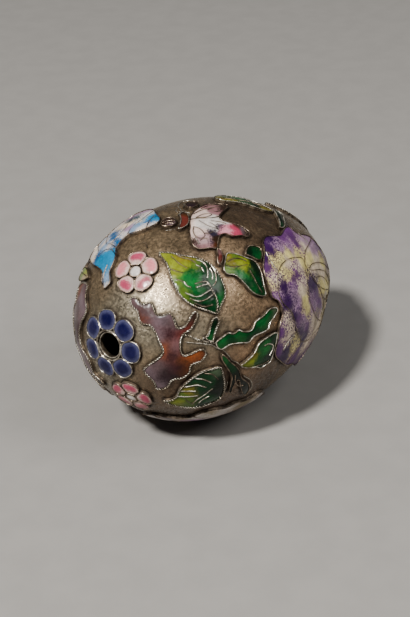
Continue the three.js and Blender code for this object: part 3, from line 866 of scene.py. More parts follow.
backPeony = {
    "place": (104, 262),
    "outline": flowerOutline({"petals": 6, "tip": 14, "waist": 10.5, "first": 20, "roundness": 0.7}),
    "paint": {
        "deepPurple": [(11.8, 3), (-9.5, 7.5), (2.5, -12), (3, 12)],
        "purple": [(8, 8.5), (-4, 11), (-12, -1), (-6, -10.5), (9.5, -7), (3.5, 2.5)],
        "lilac": [(7.5, 2), (-2, 7), (-6, -4), (4, -6)],
        "cream": [(5, 6), (-6, 3.5), (-1, -7), (8.5, -2), (0, 0)],
        "butter": [(2, 4.5), (-3.5, -1.5), (3.5, -2.5), (-2.5, 2.5)],
    },
    "soft": 0.3,
    "grain": 0.8,
    "spread": {"deepPurple": 1.0, "purple": 0.5},
    "wire": "dull",
    "dulls": [[aroundPlace(radius, math.radians(turn + bend)) for radius, bend in backCurve]
              for turn in range(50, 410, 60)]
             + [[aroundPlace(backHeart["radius"], turn, backHeart["squash"])
                 for turn in np.linspace(0, backHeart["end"], backHeart["points"])]],
}
enamelField("back_peony", backPeony, peonyEnamel, "enamel_purple")
print("peonies made")

bluebird = {
    "place": (45, -30),
    "outline": [(-3.7, 5), (-1.5, 7.5), (1, 9.8), (3.5, 11), (6.5, 9.5), (8, 6.5), (10.5, 5.8), (13.5, 5),
                (15.8, 3), (16.3, -0.5), (15.5, -4), (12, -8), (9, -10.8), (6.8, -10.6), (5.2, -9),
                (3.8, -6.8), (2.9, -4.5), (1, -3.6), (-1, -3), (-3, -3.6), (-5.5, -3.8), (-8, -3.2),
                (-11, -3.7), (-12.3, -1.8), (-10.5, -0.7), (-7.6, -0.2), (-6, 1.5)],
    "paint": {
        "white": [(0.1, 7.4), (2.4, 8.3), (3.4, 3.8), (6.3, 9.6), (0.7, 0.4), (3.4, -2.9), (10, 6.2),
                  (8.1, 2.9), (4.2, -1.8), (5.9, -8.4), (6.4, -9.7), (5, -7.4), (12.2, -4.5), (-12, -1.9)],
        "cream": [(-1.6, 6.5), (2.5, 6.8), (7.7, 1), (7.9, -1.3), (8.7, -5.3)],
        "turquoise": [(-3.1, 1.9), (-2.4, 0.3), (-3.4, -2), (-5, -0.4), (-6.7, -1.6), (8.8, -6.5),
                      (9.9, -7.3), (9.3, -9.2)],
        "brightBlue": [(3.5, 0), (1.2, -2.2), (5.4, 1.6), (8.2, -7.8), (-2.2, 3.3)],
        "tealBlue": [(0.4, -3.1), (2.4, -1.3), (-11, -1.1), (10.3, -8.4)],
        "iceBlue": [(3.2, 5.4), (-9.4, -1.5), (4.8, -4.9), (6.3, -5.6), (0.6, 1.7), (-8.5, -2.4)],
        "lilac": [(5.6, -3.2), (15.2, -2.5), (14.2, 2)],
        "darkTeal": [(10, -0.8), (11, -2.6)],
    },
    "soft": 0.4,
    "grain": 0.45,
    "spread": {"turquoise": 0.3, "brightBlue": 0.2, "tealBlue": -0.2, "darkTeal": -0.2},
    "wire": "dull",
    "dulls": [
        [(-3.2, -3.4), (-1.2, -1.2), (-0.8, 1.4), (-2, 3.2)],
        [(-1, -2.8), (0.8, -0.2), (1.8, 2), (4.6, 3.8), (8, 6.3)],
        [(0.8, -0.2), (3.4, -1.2), (6.5, -1.8), (10, -0.8), (14, 0.6), (16, 0)],
        [(2.9, -4.3), (5.6, -4.2), (9.2, -5.2), (13.2, -5.8)],
        [(5.2, -8.8), (8, -8.2), (10.6, -8)],
        [(0.4, 4.4), (2.8, 6.4), (5.6, 8.2)],
        [(-11.8, -1.6), (-9, -1.2), (-6, -1.8)],
    ],
}
enamelField("bluebird", bluebird, petalEnamel, "enamel_sky")

butterfly = {
    "butterfly_wings": {
        "outline": [(-1.5, 4.6), (1, 6.1), (4, 7), (8, 7.2), (10.5, 6), (12.3, 4), (9.3, 2.6), (6, 1.5),
                    (5, 0.2), (6.5, -1.9), (8, -4), (8.4, -6), (7, -7), (5, -6), (3, -5.3), (1.8, -3.8),
                    (0.3, -3.6), (-1.5, -4.6), (-3.2, -5.8), (-5, -4.7), (-6.9, -3.4), (-7.2, -1.6),
                    (-5, 1.5), (-3.2, 3)],
        "paint": {
            "blush": [(-2.1, 3.8), (-3.3, 0.6), (3.6, 5.7), (3.0, 3.7), (-5.0, 1.2)],
            "white": [(-0.9, 2.2), (1.2, 0.6), (4.9, 0.1), (3.1, 1.6)],
            "hotPink": [(4.8, -3.7), (4.2, -4.6)],
            "blushPink": [(3.3, -3.4)],
            "paleMauve": [(-3.9, -1.8), (-4.7, -2.6)],
            "darkBrown": [(7.8, -5.3), (-1.4, -3.9), (-6.1, -1.1), (-5.8, -1.8), (10.7, 5.4), (9.3, 3.7)],
            "greyMauve": [(7.6, -4.2)],
            "inkBlue": [(-0.9, -2.1), (2.4, -1.4), (-3.3, -3.7)],
            "mauvePink": [(-5.2, -3.4), (6.2, 6.3), (7.8, 5.2), (5.9, 3.4)],
            "rustBrown": [(-2.9, -4.7), (6.8, -3.6)],
        },
        "soft": 0.25,
        "grain": 0.3,
        "spread": {"inkBlue": -0.8, "darkBrown": -0.5, "rustBrown": -0.5, "mauvePink": -0.1},
        "wire": "dull",
        "darks": [
            [(0, 2.9), (0, 1.4), (0.3, -0.1), (1.2, -1.5)],
            [(4.6, 6.2), (7.4, 6.2), (10.6, 4.9)],
            [(5.2, 4.8), (7.6, 4.8), (10.4, 4.1)],
            [(-2.6, 2.2), (-4, 1.1), (-4.7, -0.4), (-4.3, -1.5), (-2.9, -1.5), (-2.3, -0.3), (-2.2, 0.9),
             (-2.5, 2)],
            [(-2.4, -1), (-1.6, -1.6), (-0.4, -1.7)],
            [(2.3, 1.2), (3.6, -0.1), (4.6, -1.4)],
            [(0.4, 4.2), (2.5, 4.1), (4.2, 3.5), (4.4, 2.8), (2.9, 2.7), (1.3, 3.4), (0.5, 4.1)],
            [(1.4, 5.7), (3.6, 5.7), (5.9, 5.2), (8.8, 4.5)],
            [(1.5, 0.9), (1.6, -0.5), (1.2, -1.9)],
            [(-4.9, -1.8), (-3.7, -2), (-3.2, -2.7)],
            [(7.3, -4.8), (7.3, -5.8), (6.5, -6.2)],
            [(5.9, 4), (6.3, 3.1), (7.6, 2.9)],
            [(-0.9, 4.6), (0.6, 3.6), (3, 2), (5.6, 1.3)],
        ],
        "silvers": [[(-5.3, -0.7), (-5.5, -1.7), (-5.9, -2.5)]],
    },
    "butterfly_body": {
        "outline": [(0.7, 8.6), (0.6, 6.9), (-0.6, 5.2), (-2.5, 3.8), (-4.3, 3.5), (-5.8, 4.2),
                    (-3.9, 5.4), (-2.3, 6.6), (-1, 8.1)],
        "paint": {"maroon": [(-1.6, 6.3), (-3.8, 4.3)], "rustBrown": [(-0.4, 6.6)],
                  "darkBrown": [(-4.9, 4.6), (0.1, 8.1)]},
        "wire": "fine",
    },
    "butterfly_hind_wing": {
        "outline": [(-6.3, 9.2), (-4.7, 9.9), (-3.5, 9.6), (-2.8, 8.6), (-2.9, 7.4), (-3.9, 6.2), (-5, 5.9),
                    (-6, 6.3), (-6.9, 7.4), (-6.9, 8.4)],
        "paint": {"darkBrown": [(-5.8, 8), (-4.3, 7.9), (-6.4, 6.9)], "greyMauve": [(-4.9, 6.7)]},
        "wire": "dull",
        "dulls": [[(-6.1, 8.8), (-4.8, 8.5), (-4, 7.7), (-3.7, 6.9)],
                  [(-6.3, 7.9), (-5.3, 7.6), (-4.7, 6.6)]],
    },
    "butterfly_far_wing": {
        "outline": [(3.4, 8.3), (5, 8), (6.8, 8.6), (7.8, 10.4), (6.2, 11.4), (3.8, 10.6)],
        "paint": {"darkPlum": [(4.4, 8.8)], "darkBrown": [(6.6, 10.4)]},
        "wire": "dull",
    },
}
slots = {"butterfly_wings": "enamel_blush", "butterfly_far_wing": "enamel_mauve"}
butterflyPlace = (68, 18)
for name, part in butterfly.items():
    enamelField(name, {"place": butterflyPlace, **part}, petalEnamel, slots.get(name, "enamel_brown"))
looseHeights = {"feeler": 0.12, "fleck": 0.1, "rope": 0.35, "stem": 0.2}
for feeler in ([(3.5, 12.4), (1.4, 9.6), (-0.9, 8.8)], [(7.3, 15), (3.3, 12.1), (1.6, 9.6)],
               [(5.4, 13.6), (7.7, 14.5), (9, 13.6), (9.1, 11.8), (10.1, 11.3)],
               [(6.4, 13.2), (4.5, 11.1), (3, 10.6)], [(2, 11.5), (0.9, 10.8), (0.6, 10), (1.2, 9.8)],
               [(-7.4, 6.7), (-6.5, 5.8), (-5.6, 5.2)], [(2.4, 9.7), (1.7, 8.2), (1.9, 7.2)]):
    addWire("fine", butterflyPlace, feeler, False, looseHeights["feeler"])
addWire("dark", (46, 0), [(0.9, 2.1), (0.9, 1.1), (0.3, 0.2), (-0.3, -0.3)], False, looseHeights["fleck"])
print("bird and butterfly made")

rocks = {
    "rock": {
        "place": (30, 73),
        "outline": [(-9.3, 10.8), (-8.8, 11.7), (-7.5, 11.6), (-6.7, 10.4), (-5.5, 9.7), (-4, 9.9),
                    (-3.3, 8.5), (-2.9, 6.8), (-1.9, 6.4), (0.5, 6.4), (1.2, 4.3), (1.5, 2.8), (2.5, 2.6),
                    (3.9, 3.5), (5.3, 5.2), (6.3, 5.8), (7, 5.2), (4.8, 1.7), (2.5, 0.6), (1.5, -1.5),
                    (1.7, -4.2), (3.2, -4.2), (5.4, -3.6), (6.8, -3.9), (7.2, -5.1), (5.9, -6.8),
                    (3.1, -7.4), (2.4, -9.2), (0.3, -10.6), (-2.2, -10.7), (-3.8, -12.6), (-5.7, -13.3),
                    (-7.1, -12.7), (-7, -11.1), (-9, -6.9), (-8, -5.8), (-3.2, -2.7), (-3.6, 0),
                    (-4.2, 2.5), (-5, 4.1), (-7, 4.9), (-7.6, 6), (-7.6, 7.8), (-8.7, 9.2)],
        "paint": {
            "mauve": [(-7.8, 10.2), (-4.8, 7.6), (0.4, 4.3), (-5.7, -6.0)],
            "greyMauve": [(-2.3, 5.3), (-0.5, 5.7), (-3.2, 1.2), (-7.4, -7.2), (-5.8, -12.3)],
            "rust": [(-6.5, 6.4), (-3.2, -0.8)],
            "plum": [(-0.6, 1.4), (-1.1, -3.7), (-0.5, -7.3)],
            "rose": [(0.1, -1.6)],
            "rustBrown": [(1.7, -5.8), (1.2, -8.8)],
            "orange": [(3.0, -5.3), (5.5, -4.9), (-3, -1.8)],
            "darkBrown": [(6.6, -4.4), (5.7, 4.3), (4.6, 3.2)],
            "darkPlum": [(-3.9, -9.4), (-2.1, -9.3)],
            "maroon": [(4.0, 2.0), (2.7, 1.0)],
        },
        "soft": 0.9,
        "spread": {"rust": -0.8, "orange": -0.2, "mauve": 0.4},
    },
    "back_rock": {
        "place": (22, -95),
        "outline": [(4, -12), (0, -12.5), (-0.5, -11), (-1.8, -9), (-3.3, -7.3), (-3.2, -5.5), (-2, -3.5),
                    (-0.7, -1), (-0.4, 2), (-1, 4), (-3, 5), (-3.8, 8), (-3.4, 11), (-5.8, 12.2),
                    (-6, 14), (-2.5, 14.5), (1, 12), (3.5, 9), (5.5, 5), (5, 1), (6.5, -3), (5.5, -7),
                    (6.5, -10)],
        "paint": {
            "mauve": [(2.5, -5.0), (0.6, 9.4), (0.6, -10.8)],
            "greyMauve": [(1.1, -8.1), (-1.8, 11.5), (2, 6)],
            "plum": [(5, 0.5), (2, 1)],
            "darkPlum": [(4.6, 5.1), (-4.6, 13)],
            "rust": [(4.8, -9)],
        },
        "soft": 0.6,
    },
}
for name, part in rocks.items():
    enamelField(name, part, leafEnamel, "enamel_mauve")
for rope in ([(-6.9, 0.2), (-5.9, -0.1), (-4.5, -1.2), (-3.3, -1.8), (-2.2, -1.5)],
             [(-3.1, -1.9), (-1.8, -2.7), (-0.5, -3.2), (0.4, -3.4)]):
    addWire("rope", (46, 72), rope, False, looseHeights["rope"])

# Leaves and stems: the drawn outline, its paint, and the wires that lie in it.
leaves = {
    "big_leaf": {
        "place": (48, 39),
        "slot": "enamel_green",
        "outline": [(-3, 10.5), (-1, 9), (1, 6.5), (3.5, 4), (5.3, 1), (5.5, -3), (4.2, -7), (1.5, -9),
                    (0, -10), (-2, -8.2), (-4.5, -5), (-5.5, -1.5), (-5, 2.5), (-3.5, 6.5)],
        "paint": {
            "lime": [(-1.9, 9.3), (-2.1, 6.2), (-1.9, 4.2), (-4.1, 4.2), (0, 3.7)],
            "limeGreen": [(-4.6, 1.2), (-4.9, -1.2), (-4.5, -3.1), (1.9, 2.8)],
            "olive": [(0.2, 6.2), (1.6, 4.3)],
            "brightGreen": [(-1.5, 0.8), (-1.1, -0.9)],
            "leafGreen": [(0, 2.2), (0.7, 0), (-1.2, -2.7), (2.8, -7), (3.1, -2.3)],
            "bottleGreen": [(3.2, 1.4), (2.6, -0.6), (-3.4, -3.5), (-1.3, -5.4), (-0.3, -7.4), (4.3, -4.4)],
            "darkGreen": [(1.6, -5.3), (5.4, -0.5), (-2.5, -6.3), (1.6, -2)],
        },
        "ropes": [[(-0.1, -9.3), (0.8, -8.3), (1.5, -6.8), (1.6, -5), (1.8, -3.8), (1.7, -2.6)]],
        "silvers": [
            [(2.8, 3.5), (3.6, 2.7), (4, 1.2), (3.4, -0.2), (2.4, -1.6)],
            [(5.1, 0.6), (5, -0.9), (4.5, -2.2), (3.5, -3.4), (2.4, -3.8)],
            [(-2.8, 0.6), (-2.8, -0.6), (-2.2, -1.4)],
            [(-1, -1.2), (0.5, -1.6), (1.7, -2.2), (1.9, -3.6)],
            [(-1.3, -2.1), (0.2, -2.4), (1.6, -2.8)],
            [(-4.1, -1.7), (-3.4, -2.7), (-2.7, -3.7), (-1.4, -4.3), (0, -4.3), (1.4, -4.3)],
            [(-3.9, -3.4), (-2.6, -5), (-1, -5.6), (1.1, -5.5)],
            [(1.9, 2.6), (2.7, 1.4), (2.6, 0.3)],
            [(4.3, 0.2), (4.1, -1.2), (3.2, -2.5)],
        ],
        "dulls": [[(-3.6, -4.9), (-2.2, -6.7), (-0.1, -7.5)]],
        "darks": [
            [(-1.3, 7.7), (-1.2, 6.3), (-0.9, 4.7), (-0.2, 3)],
            [(-0.1, 7.1), (0.8, 5.5), (1.7, 4.5), (2.3, 2.9)],
            [(-3.5, 5.1), (-2.7, 3.8), (-1.7, 2.5)],
            [(-3.9, 2.2), (-3.2, 1.2), (-2.6, 0.1)],
        ],
    },
    "peony_leaf": {
        "place": (67, 49),
        "slot": "enamel_green",
        "outline": [(-4.8, 2.5), (-3, 4.5), (-1.5, 5.8), (0.5, 5), (2.7, 3), (4.5, 1.4), (4.7, -1),
                    (3.7, -4.8), (3.1, -6.9), (1.5, -6.6), (-0.5, -5), (-2, -1.5), (-3, 0.3), (-4.5, 1.2)],
        "paint": {
            "olive": [(-1.6, 5.1), (-1.8, 3.3)],
            "limeGreen": [(0.3, 4.4), (-3.3, 2.1)],
            "lime": [(0.1, 2.5), (0.8, 1.2)],
            "leafGreen": [(-1.8, 0.7), (0.2, -4.8)],
            "brightGreen": [(-1.1, -0.6)],
            "bottleGreen": [(-0.9, -2.2), (1.5, -0.1), (2.3, -2.9), (2.1, -5.5)],
            "darkGreen": [(3.5, 0.5), (4.2, -2.4)],
        },
        "wire": "fine",
        "dulls": [[(1.5, -0.1), (1.6, -1.9), (1.7, -3.9), (2.2, -5.8)]],
        "darks": [
            [(-3.6, 3.3), (-2.5, 2.4), (-0.5, 1.7), (1.6, 1.4)],
            [(-2.6, 3.9), (-0.5, 3.8), (1.1, 3), (2, 2.1)],
        ],
    },
    "small_dark_leaf": {
        "place": (67, 49),
        "slot": "enamel_dark_green",
        "outline": [(2.9, 3.6), (4, 4.7), (5.4, 5.3), (7, 4.9), (8.5, 3.6), (7.9, 2), (6.3, 0.9), (5.2, 1.3),
                    (4, 2.5)],
        "paint": {"darkGreen": [(4.6, 3.8)], "bottleGreen": [(6.3, 3)], "leafGreen": [(6.6, 2.2)]},
        "wire": "dull",
    },
    "wavy_leaf": {
        "place": (62, 78),
        "slot": "enamel_green",
        "outline": [(-9.4, -0.8), (-7.5, 0.3), (-6, 0.9), (-4.8, 0.4), (-3.3, 0.9), (-2, 0.2), (0, 0),
                    (1.5, 1.6), (4, 2.3), (6.5, 3.3), (8.8, 2.9), (9.2, 2), (7.5, 0.8), (6.2, 0),
                    (5.2, -1.4), (2.5, -1.8), (0.7, -2), (-0.8, -3), (-3, -2.6), (-6, -2.3), (-8, -3),
                    (-9, -2.4)],
        "paint": {
            "leafGreen": [(-8.2, -1.5), (-2.6, -0.8), (3, 0.3), (5.3, 2), (-4.3, 0.1)],
            "bottleGreen": [(-5.5, -0.8), (-0.7, -0.8), (1.7, -1)],
            "mistGreen": [(8.9, 2.7)],
        },
        "wire": "silver",
    },
    "curled_leaf": {
        "place": (67, 94),
        "slot": "enamel_dark_green",
        "outline": [(-5.8, -1.5), (-4, -0.2), (-2.5, 1), (-1, 3.3), (1.5, 4.2), (4.3, 4.6), (5.2, 4.2),
                    (4.9, 2), (4.3, -0.5), (3.6, -3), (2.2, -3.4), (0.8, -3.8), (-0.8, -3.1), (-3, -2.8),
                    (-5, -2.2)],
        "paint": {
            "lime": [(-2.8, -1.5), (-4.3, -0.9)],
            "olive": [(-2.3, 0.7)],
            "leafGreen": [(-0.2, 1.5), (-0.7, -1.2)],
            "bottleGreen": [(1.6, -1.6), (3.9, 2.9)],
            "brightGreen": [(1.7, 1.2)],
            "darkGreen": [(2.7, -0.8)],
        },
        "wire": "silver",
        "silvers": [[(0.6, 2.2), (2.2, 2.3), (3.7, 1.4), (3.5, 0.2), (2.7, -0.8)]],
        "dulls": [[(-0.9, -2.6), (1, -2.6), (2.9, -2.3)]],
    },
    "lower_leaf": {
        "place": (44, 119),
        "slot": "enamel_dark_green",
        "outline": [(-6.7, -5.5), (-5.5, -4.5), (-4.8, -2.5), (-5.2, 0), (-4.5, 3), (-2.4, 6.7), (0, 8.2),
                    (2.3, 8.9), (3.8, 7), (5.7, 3.8), (6.8, 0.5), (6.6, -1.3), (4.8, -3.2), (2.5, -5.2),
                    (-0.8, -6.1), (-4.1, -6.2)],
        "paint": {
            "lime": [(-2.8, -4.3), (-4.7, -4.8)],
            "limeGreen": [(-0.8, -4.1), (-3, -1.8)],
            "olive": [(-2.5, 0.6)],
            "bottleGreen": [(-1.8, 4.7), (0.1, 6.3), (-0.5, 1.9), (1.3, 3.8), (-3.6, 3),
                            (3.4, -3.3)],
            "mistGreen": [(1.2, 7.6)],
            "leafGreen": [(3.1, -1.2)],
            "darkGreen": [(3.9, 1.8), (3.9, 4.1)],
        },
        "silvers": [
            [(-4.6, -2.1), (-2.6, -1.5), (0, -0.3)],
            [(0.2, -3.8), (0.6, -1.6), (1.7, 0.5), (2.6, 2.7)],
            [(-4.4, 1.3), (-3.2, 2.1), (-1.8, 2.9), (0.7, 2.8)],
            [(-4.6, -0.2), (-3, 0.5), (-1.2, 1)],
            [(1.6, -3), (1.9, -1.5), (2.9, 0)],
            [(-2.9, 4.7), (-1, 4.9), (1.4, 4.4)],
        ],
        "dulls": [[(-1.3, 6.6), (0.8, 6.7), (2.9, 5.5)]],
        "darks": [[(-2.2, -2.3), (-1, -3.2), (0.4, -3.3)]],
    },
    "leaf_stem": {
        "place": (46, 72),
        "slot": "enamel_dark_green",
        "outline": [(1.9, 2.5), (0.8, 2.6), (-0.2, 1.6), (-0.8, 0.4), (-1.4, -0.8), (-2.2, -1.5),
                    (-1.5, -2.5), (-0.4, -3), (0.2, -1.7), (1.1, -0.1), (2.1, 1.2)],
        "paint": {"leafGreen": [(-1, -1.6)], "bottleGreen": [(-0.3, -0.2)],
                  "darkGreen": [(0.3, 0.8), (1.3, 1.9)]},
    },
    "forked_stem": {
        "place": (57, 105),
        "slot": "enamel_dark_green",
        "outline": [(-5.4, 6.6), (-4, 6), (-2.5, 4.6), (-1, 3.5), (0.4, 2.2), (1.9, -0.2), (5, -2.7),
                    (6.6, -5.9), (6.2, -7.6), (4.6, -6.4), (2.3, -3.2), (1, -1), (0.5, -2.6), (0.6, -5),
                    (-0.4, -4.8), (-0.9, -2), (-1.4, 0.3), (-2.7, 2.1), (-4, 3.6), (-5.2, 5.2)],
        "paint": {"leafGreen": [(-4.2, 5.2)], "bottleGreen": [(-2.2, 3.3)],
                  "darkGreen": [(0.4, 0), (2.9, -4.8)]},
        "wire": "dull",
        "dulls": [[(-0.4, 0.7), (0.2, -1.1), (2.1, -3), (3.2, -2.9)],
                  [(0.4, -5.7), (1.3, -5.2), (3.3, -6.8)]],
    },
    "red_bud": {
        "place": (61, 37),
        "slot": "enamel_brown",
        "outline": [(1.2, 2.6), (2, 2), (1.2, 0.1), (0.1, -0.9), (-1.4, -1.4), (-1, 0.1), (0, 1.1)],
        "paint": {"maroon": [(0.2, 0.3)], "rustBrown": [(-0.9, -0.5)], "rose": [(1.6, 1.7)]},
        "wire": "dull",
        "fine": 0.25,
    },
    "small_lime_leaf": {
        "place": (41, -60),
        "slot": "enamel_lime",
        "outline": [(-4.5, -3.8), (-2.3, -3.6), (1, -2), (4, 0.5), (5.2, 2.6), (3, 3.4), (0, 2.2),
                    (-2.8, -0.5)],
        "paint": {"lime": [(-0.8, -1.9), (3, 1.5)], "greyCream": [(-2.4, -1.4)], "limeGreen": [(1.2, -0.4)]},
        "wire": "dull",
        "dulls": [[(-3.4, -3), (0, -0.6), (3.8, 2.4)]],
    },
    "top_leaf": {
        "place": (99, 9),
        "slot": "enamel_lime",
        "outline": [(-7.2, 4), (-6.4, 2), (-4.4, 0.8), (-2.2, -0.9), (-0.5, -2.8), (2.5, -4.6), (4.6, -4.8),
                    (6.4, -4.2), (4.6, -1), (3.4, 2), (0.5, 5), (-3, 6.6), (-6, 6)],
        "paint": {
            "olive": [(-5.9, 3.6), (3.9, -3.2), (-4, 2.5)],
            "mistGreen": [(-2.7, 3.5), (-1.5, -0.5)],
            "leafGreen": [(-0.3, 1.5), (0, 4)],
            "darkGreen": [(1.7, -1.1)],
            "bottleGreen": [(0.8, 0.1), (3, 1)],
        },
        "wire": "fine",
        "dulls": [[(-6.6, 4.6), (-3.4, 2.8), (0.4, 0.2), (3.4, -2.2), (5.6, -3.8)],
                  [(-3.4, 2.8), (-1.6, 4.6)], [(0.4, 0.2), (2, 2.4)]],
    },
    "top_stem": {
        "place": (105, 29),
        "slot": "enamel_dark_green",
        "outline": [(2, 4), (0, 1.8), (-2.5, -0.7), (-4.3, -2), (-3, -2.4), (-0.6, -1.7), (2.3, 0.4),
                    (5.2, 3), (4, 4.4)],
        "paint": {"darkGreen": [(3.3, 2.7), (0.3, 0)], "bottleGreen": [(4.3, 4), (-2, -1)]},
        "wire": "silver",
    },
}
for name, leaf in leaves.items():
    enamelField(name, leaf, leafEnamel, leaf["slot"])

# The plainer leaves round the back, with a midrib and side veins.
plainLeaves = {
    "back_leaf_upper": {"place": (82, 309), "length": 17, "width": 9, "heading": 35, "bow": 1.5},
    "back_leaf_lower": {"place": (70, 222), "length": 16, "width": 8, "heading": 150, "bow": -1.5},
    "back_leaf_tail": {"place": (130, 322), "length": 24, "width": 13, "heading": 60, "bow": 2.5},
    "tail_leaf": {"place": (136, 8), "length": 24, "width": 12, "heading": -20, "bow": 2,
                  "slot": "enamel_dark_green"},
    "underside_leaf": {"place": (122, 178), "length": 26, "width": 13, "heading": 75, "bow": -2.5},
}


def leafPoint(leaf, share, side):
    return tuple(leafEdge(leaf, np.array([share]), side)[0])


def leafSpots(leaf, shares, side):
    return [leafPoint(leaf, share, side) for share in shares]


plainVeins = {"starts": (0.24, 0.42, 0.6), "reach": 0.78, "sweep": 0.16, "parts": (0, 0.35, 0.7, 1)}
for name, leaf in plainLeaves.items():
    veins = []
    for share in plainVeins["starts"]:
        for side in (-plainVeins["reach"], plainVeins["reach"]):
            veins.append([leafPoint(leaf, share + plainVeins["sweep"] * part, side * part)
                          for part in plainVeins["parts"]])
    field = {
        "place": leaf["place"],
        "outline": leafOutline(leaf),
        "paint": {
            "lime": leafSpots(leaf, (0.14, 0.3, 0.46), 0.7),
            "limeGreen": leafSpots(leaf, (0.08, 0.62, 0.24), 0.35),
            "leafGreen": leafSpots(leaf, (0.35, 0.55, 0.75), 0.1),
            "bottleGreen": leafSpots(leaf, (0.3, 0.5, 0.7, 0.88), -0.6),
            "darkGreen": leafSpots(leaf, (0.95, 0.15), -0.3),
        },
        "ropes": [leafSpots(leaf, (0.06, 0.25, 0.5, 0.75, 0.94), 0)],
        "dulls": veins,
    }
    enamelField(name, field, leafEnamel, leaf.get("slot", "enamel_green"))

# Fine wires of the stems that lie on the bare ground.
for place, stem in (
    ((57, 105), [(-5.2, 7.6), (-3.4, 6.1), (-2, 4.6), (-0.6, 4), (1.2, 2.6)]),
    ((57, 105), [(2.6, -0.2), (5.7, -2.4), (7.4, -5.2), (7, -8.2)]),
    ((57, 105), [(-1.6, -1.4), (-1.3, -4), (-2.2, -6)]),
    ((46, 72), [(-6.8, -1.5), (-5.7, -1.9), (-4.2, -2.4), (-2.4, -3), (-0.6, -3.8), (0.5, -4.9)]),
):
    addWire("fine", place, stem, False, looseHeights["stem"])
print("leaves made")

# The ground: a thin turned shell with its hole, and tones brushed on round a few places.
palette.update({
    "groundBrown": (136, 116, 90), "groundTan": (172, 140, 108), "groundDarkAndShade": (98, 80, 62),
    "groundGrey": (146, 136, 116), "groundRust": (90, 70, 58),
})
# The darkest tones lie mostly on the egg's lower side: tarnish there, and painted shade of the underside.
groundTones = {
    "groundBrown": [(35, -20), (44, 8), (75, -20), (60, 60), (30, 100), (90, 120), (120, 60), (150, 200),
                    (80, 250)],
    "groundTan": [(60, 62), (58, 88), (110, 280), (60, 200)],
    "groundDarkAndShade": [(95, 20), (75, 112), (40, 150), (140, 100), (120, 230), (30, 250)],
    "groundGrey": [(22, 60), (18, 20), (45, 75), (15, 200), (165, 40)],
    "groundRust": [(34, 120), (54, 102), (68, 128), (100, 160), (140, 320)],
}


# Where the egg's outline, seen from its axis, has this radius near the hole.
def angleAtRadius(radius, lift):
    low, high = 0.0, math.pi / 3
    for _ in range(surfaceSearch["angleHalvings"]):
        middle = (low + high) / 2
        low, high = (middle, high) if profileAt(middle, lift)[0] < radius else (low, middle)
    return low


onAxis = 1e-6


# Rows of radius and place along the axis, turned round it. Rows from insideFrom on have the second material.
def turnedShell(name, rows, stepsRound, materials, insideFrom):
    turn = 2 * math.pi * np.arange(stepsRound) / stepsRound
    outwards = np.cos(turn)[:, None] * toTop + np.sin(turn)[:, None] * toFront
    points, faces, kinds, rings = [], [], [], []
    for radius, along in rows:
        rings.append(len(points))
        axis = eggCentre + toHole * along
        points += [axis] if radius < onAxis else list(axis + outwards * radius)
    for i in range(len(rows)):
        j = (i + 1) % len(rows)
        a, b = rings[i], rings[j]
        if rows[i][0] < onAxis and rows[j][0] < onAxis:
            continue
        for k in range(stepsRound):
            after = (k + 1) % stepsRound
            if rows[j][0] < onAxis:
                faces.append([a + k, b, a + after])
            elif rows[i][0] < onAxis:
                faces.append([a, b + k, b + after])
            else:
                faces.append([a + k, b + k, b + after, a + after])
            kinds.append(1 if i >= insideFrom else 0)
    return meshFrom(name, points, faces, materials, kinds)


# The hole's edge from inside to outside: how far outside the bore, and how far under the ground.
holeEdge = ((0, 0.6), (0, 0.12), (0.05, 0.02))


def groundShell():
    wall = eggShape["wall"]
    holeRadius = eggShape["holeDiameter"] / 2
    start = angleAtRadius(holeRadius + eggShape["holeChamfer"], 0)
    angles = start + (math.pi - start) * np.linspace(0, 1, eggShape["stepsAlong"]) ** eggShape["crowding"]
    rows = [tuple(profileAt(angle)) for angle in angles]
    rows[-1] = (0.0, -halfLength)
    inner = angleAtRadius(holeRadius, -wall)
    insideFrom = len(rows) - 1
    rows.append((0.0, -halfLength + wall))
    for angle in np.linspace(math.pi, inner, eggShape["insideAlong"])[1:]:
        rows.append(tuple(profileAt(angle, -wall)))
    edge = profileAt(start)[1]
    rows += [(holeRadius + outside, edge - under) for outside, under in holeEdge]
    return turnedShell("egg_shell_silvered", rows, eggShape["stepsRound"],
                       [tarnishedGround, metalNamed["insideMetal"]], insideFrom)


groundBrush = {
    "waveSize": 9.0, "firstSeed": 40, "waveReach": 1.5, "soft": 3.5,      # tones
    "reliefMargin": 2, "farAway": 9.0, "clean": 0.1, "fade": 0.4, "sharpness": 1.3,    # dirt and painted shade along the relief
    "ledgeRadius": 3.35, "ledgeWidth": 0.22, "ledgeFrom": 30,             # dirt and painted shade between the hole and its ring
}
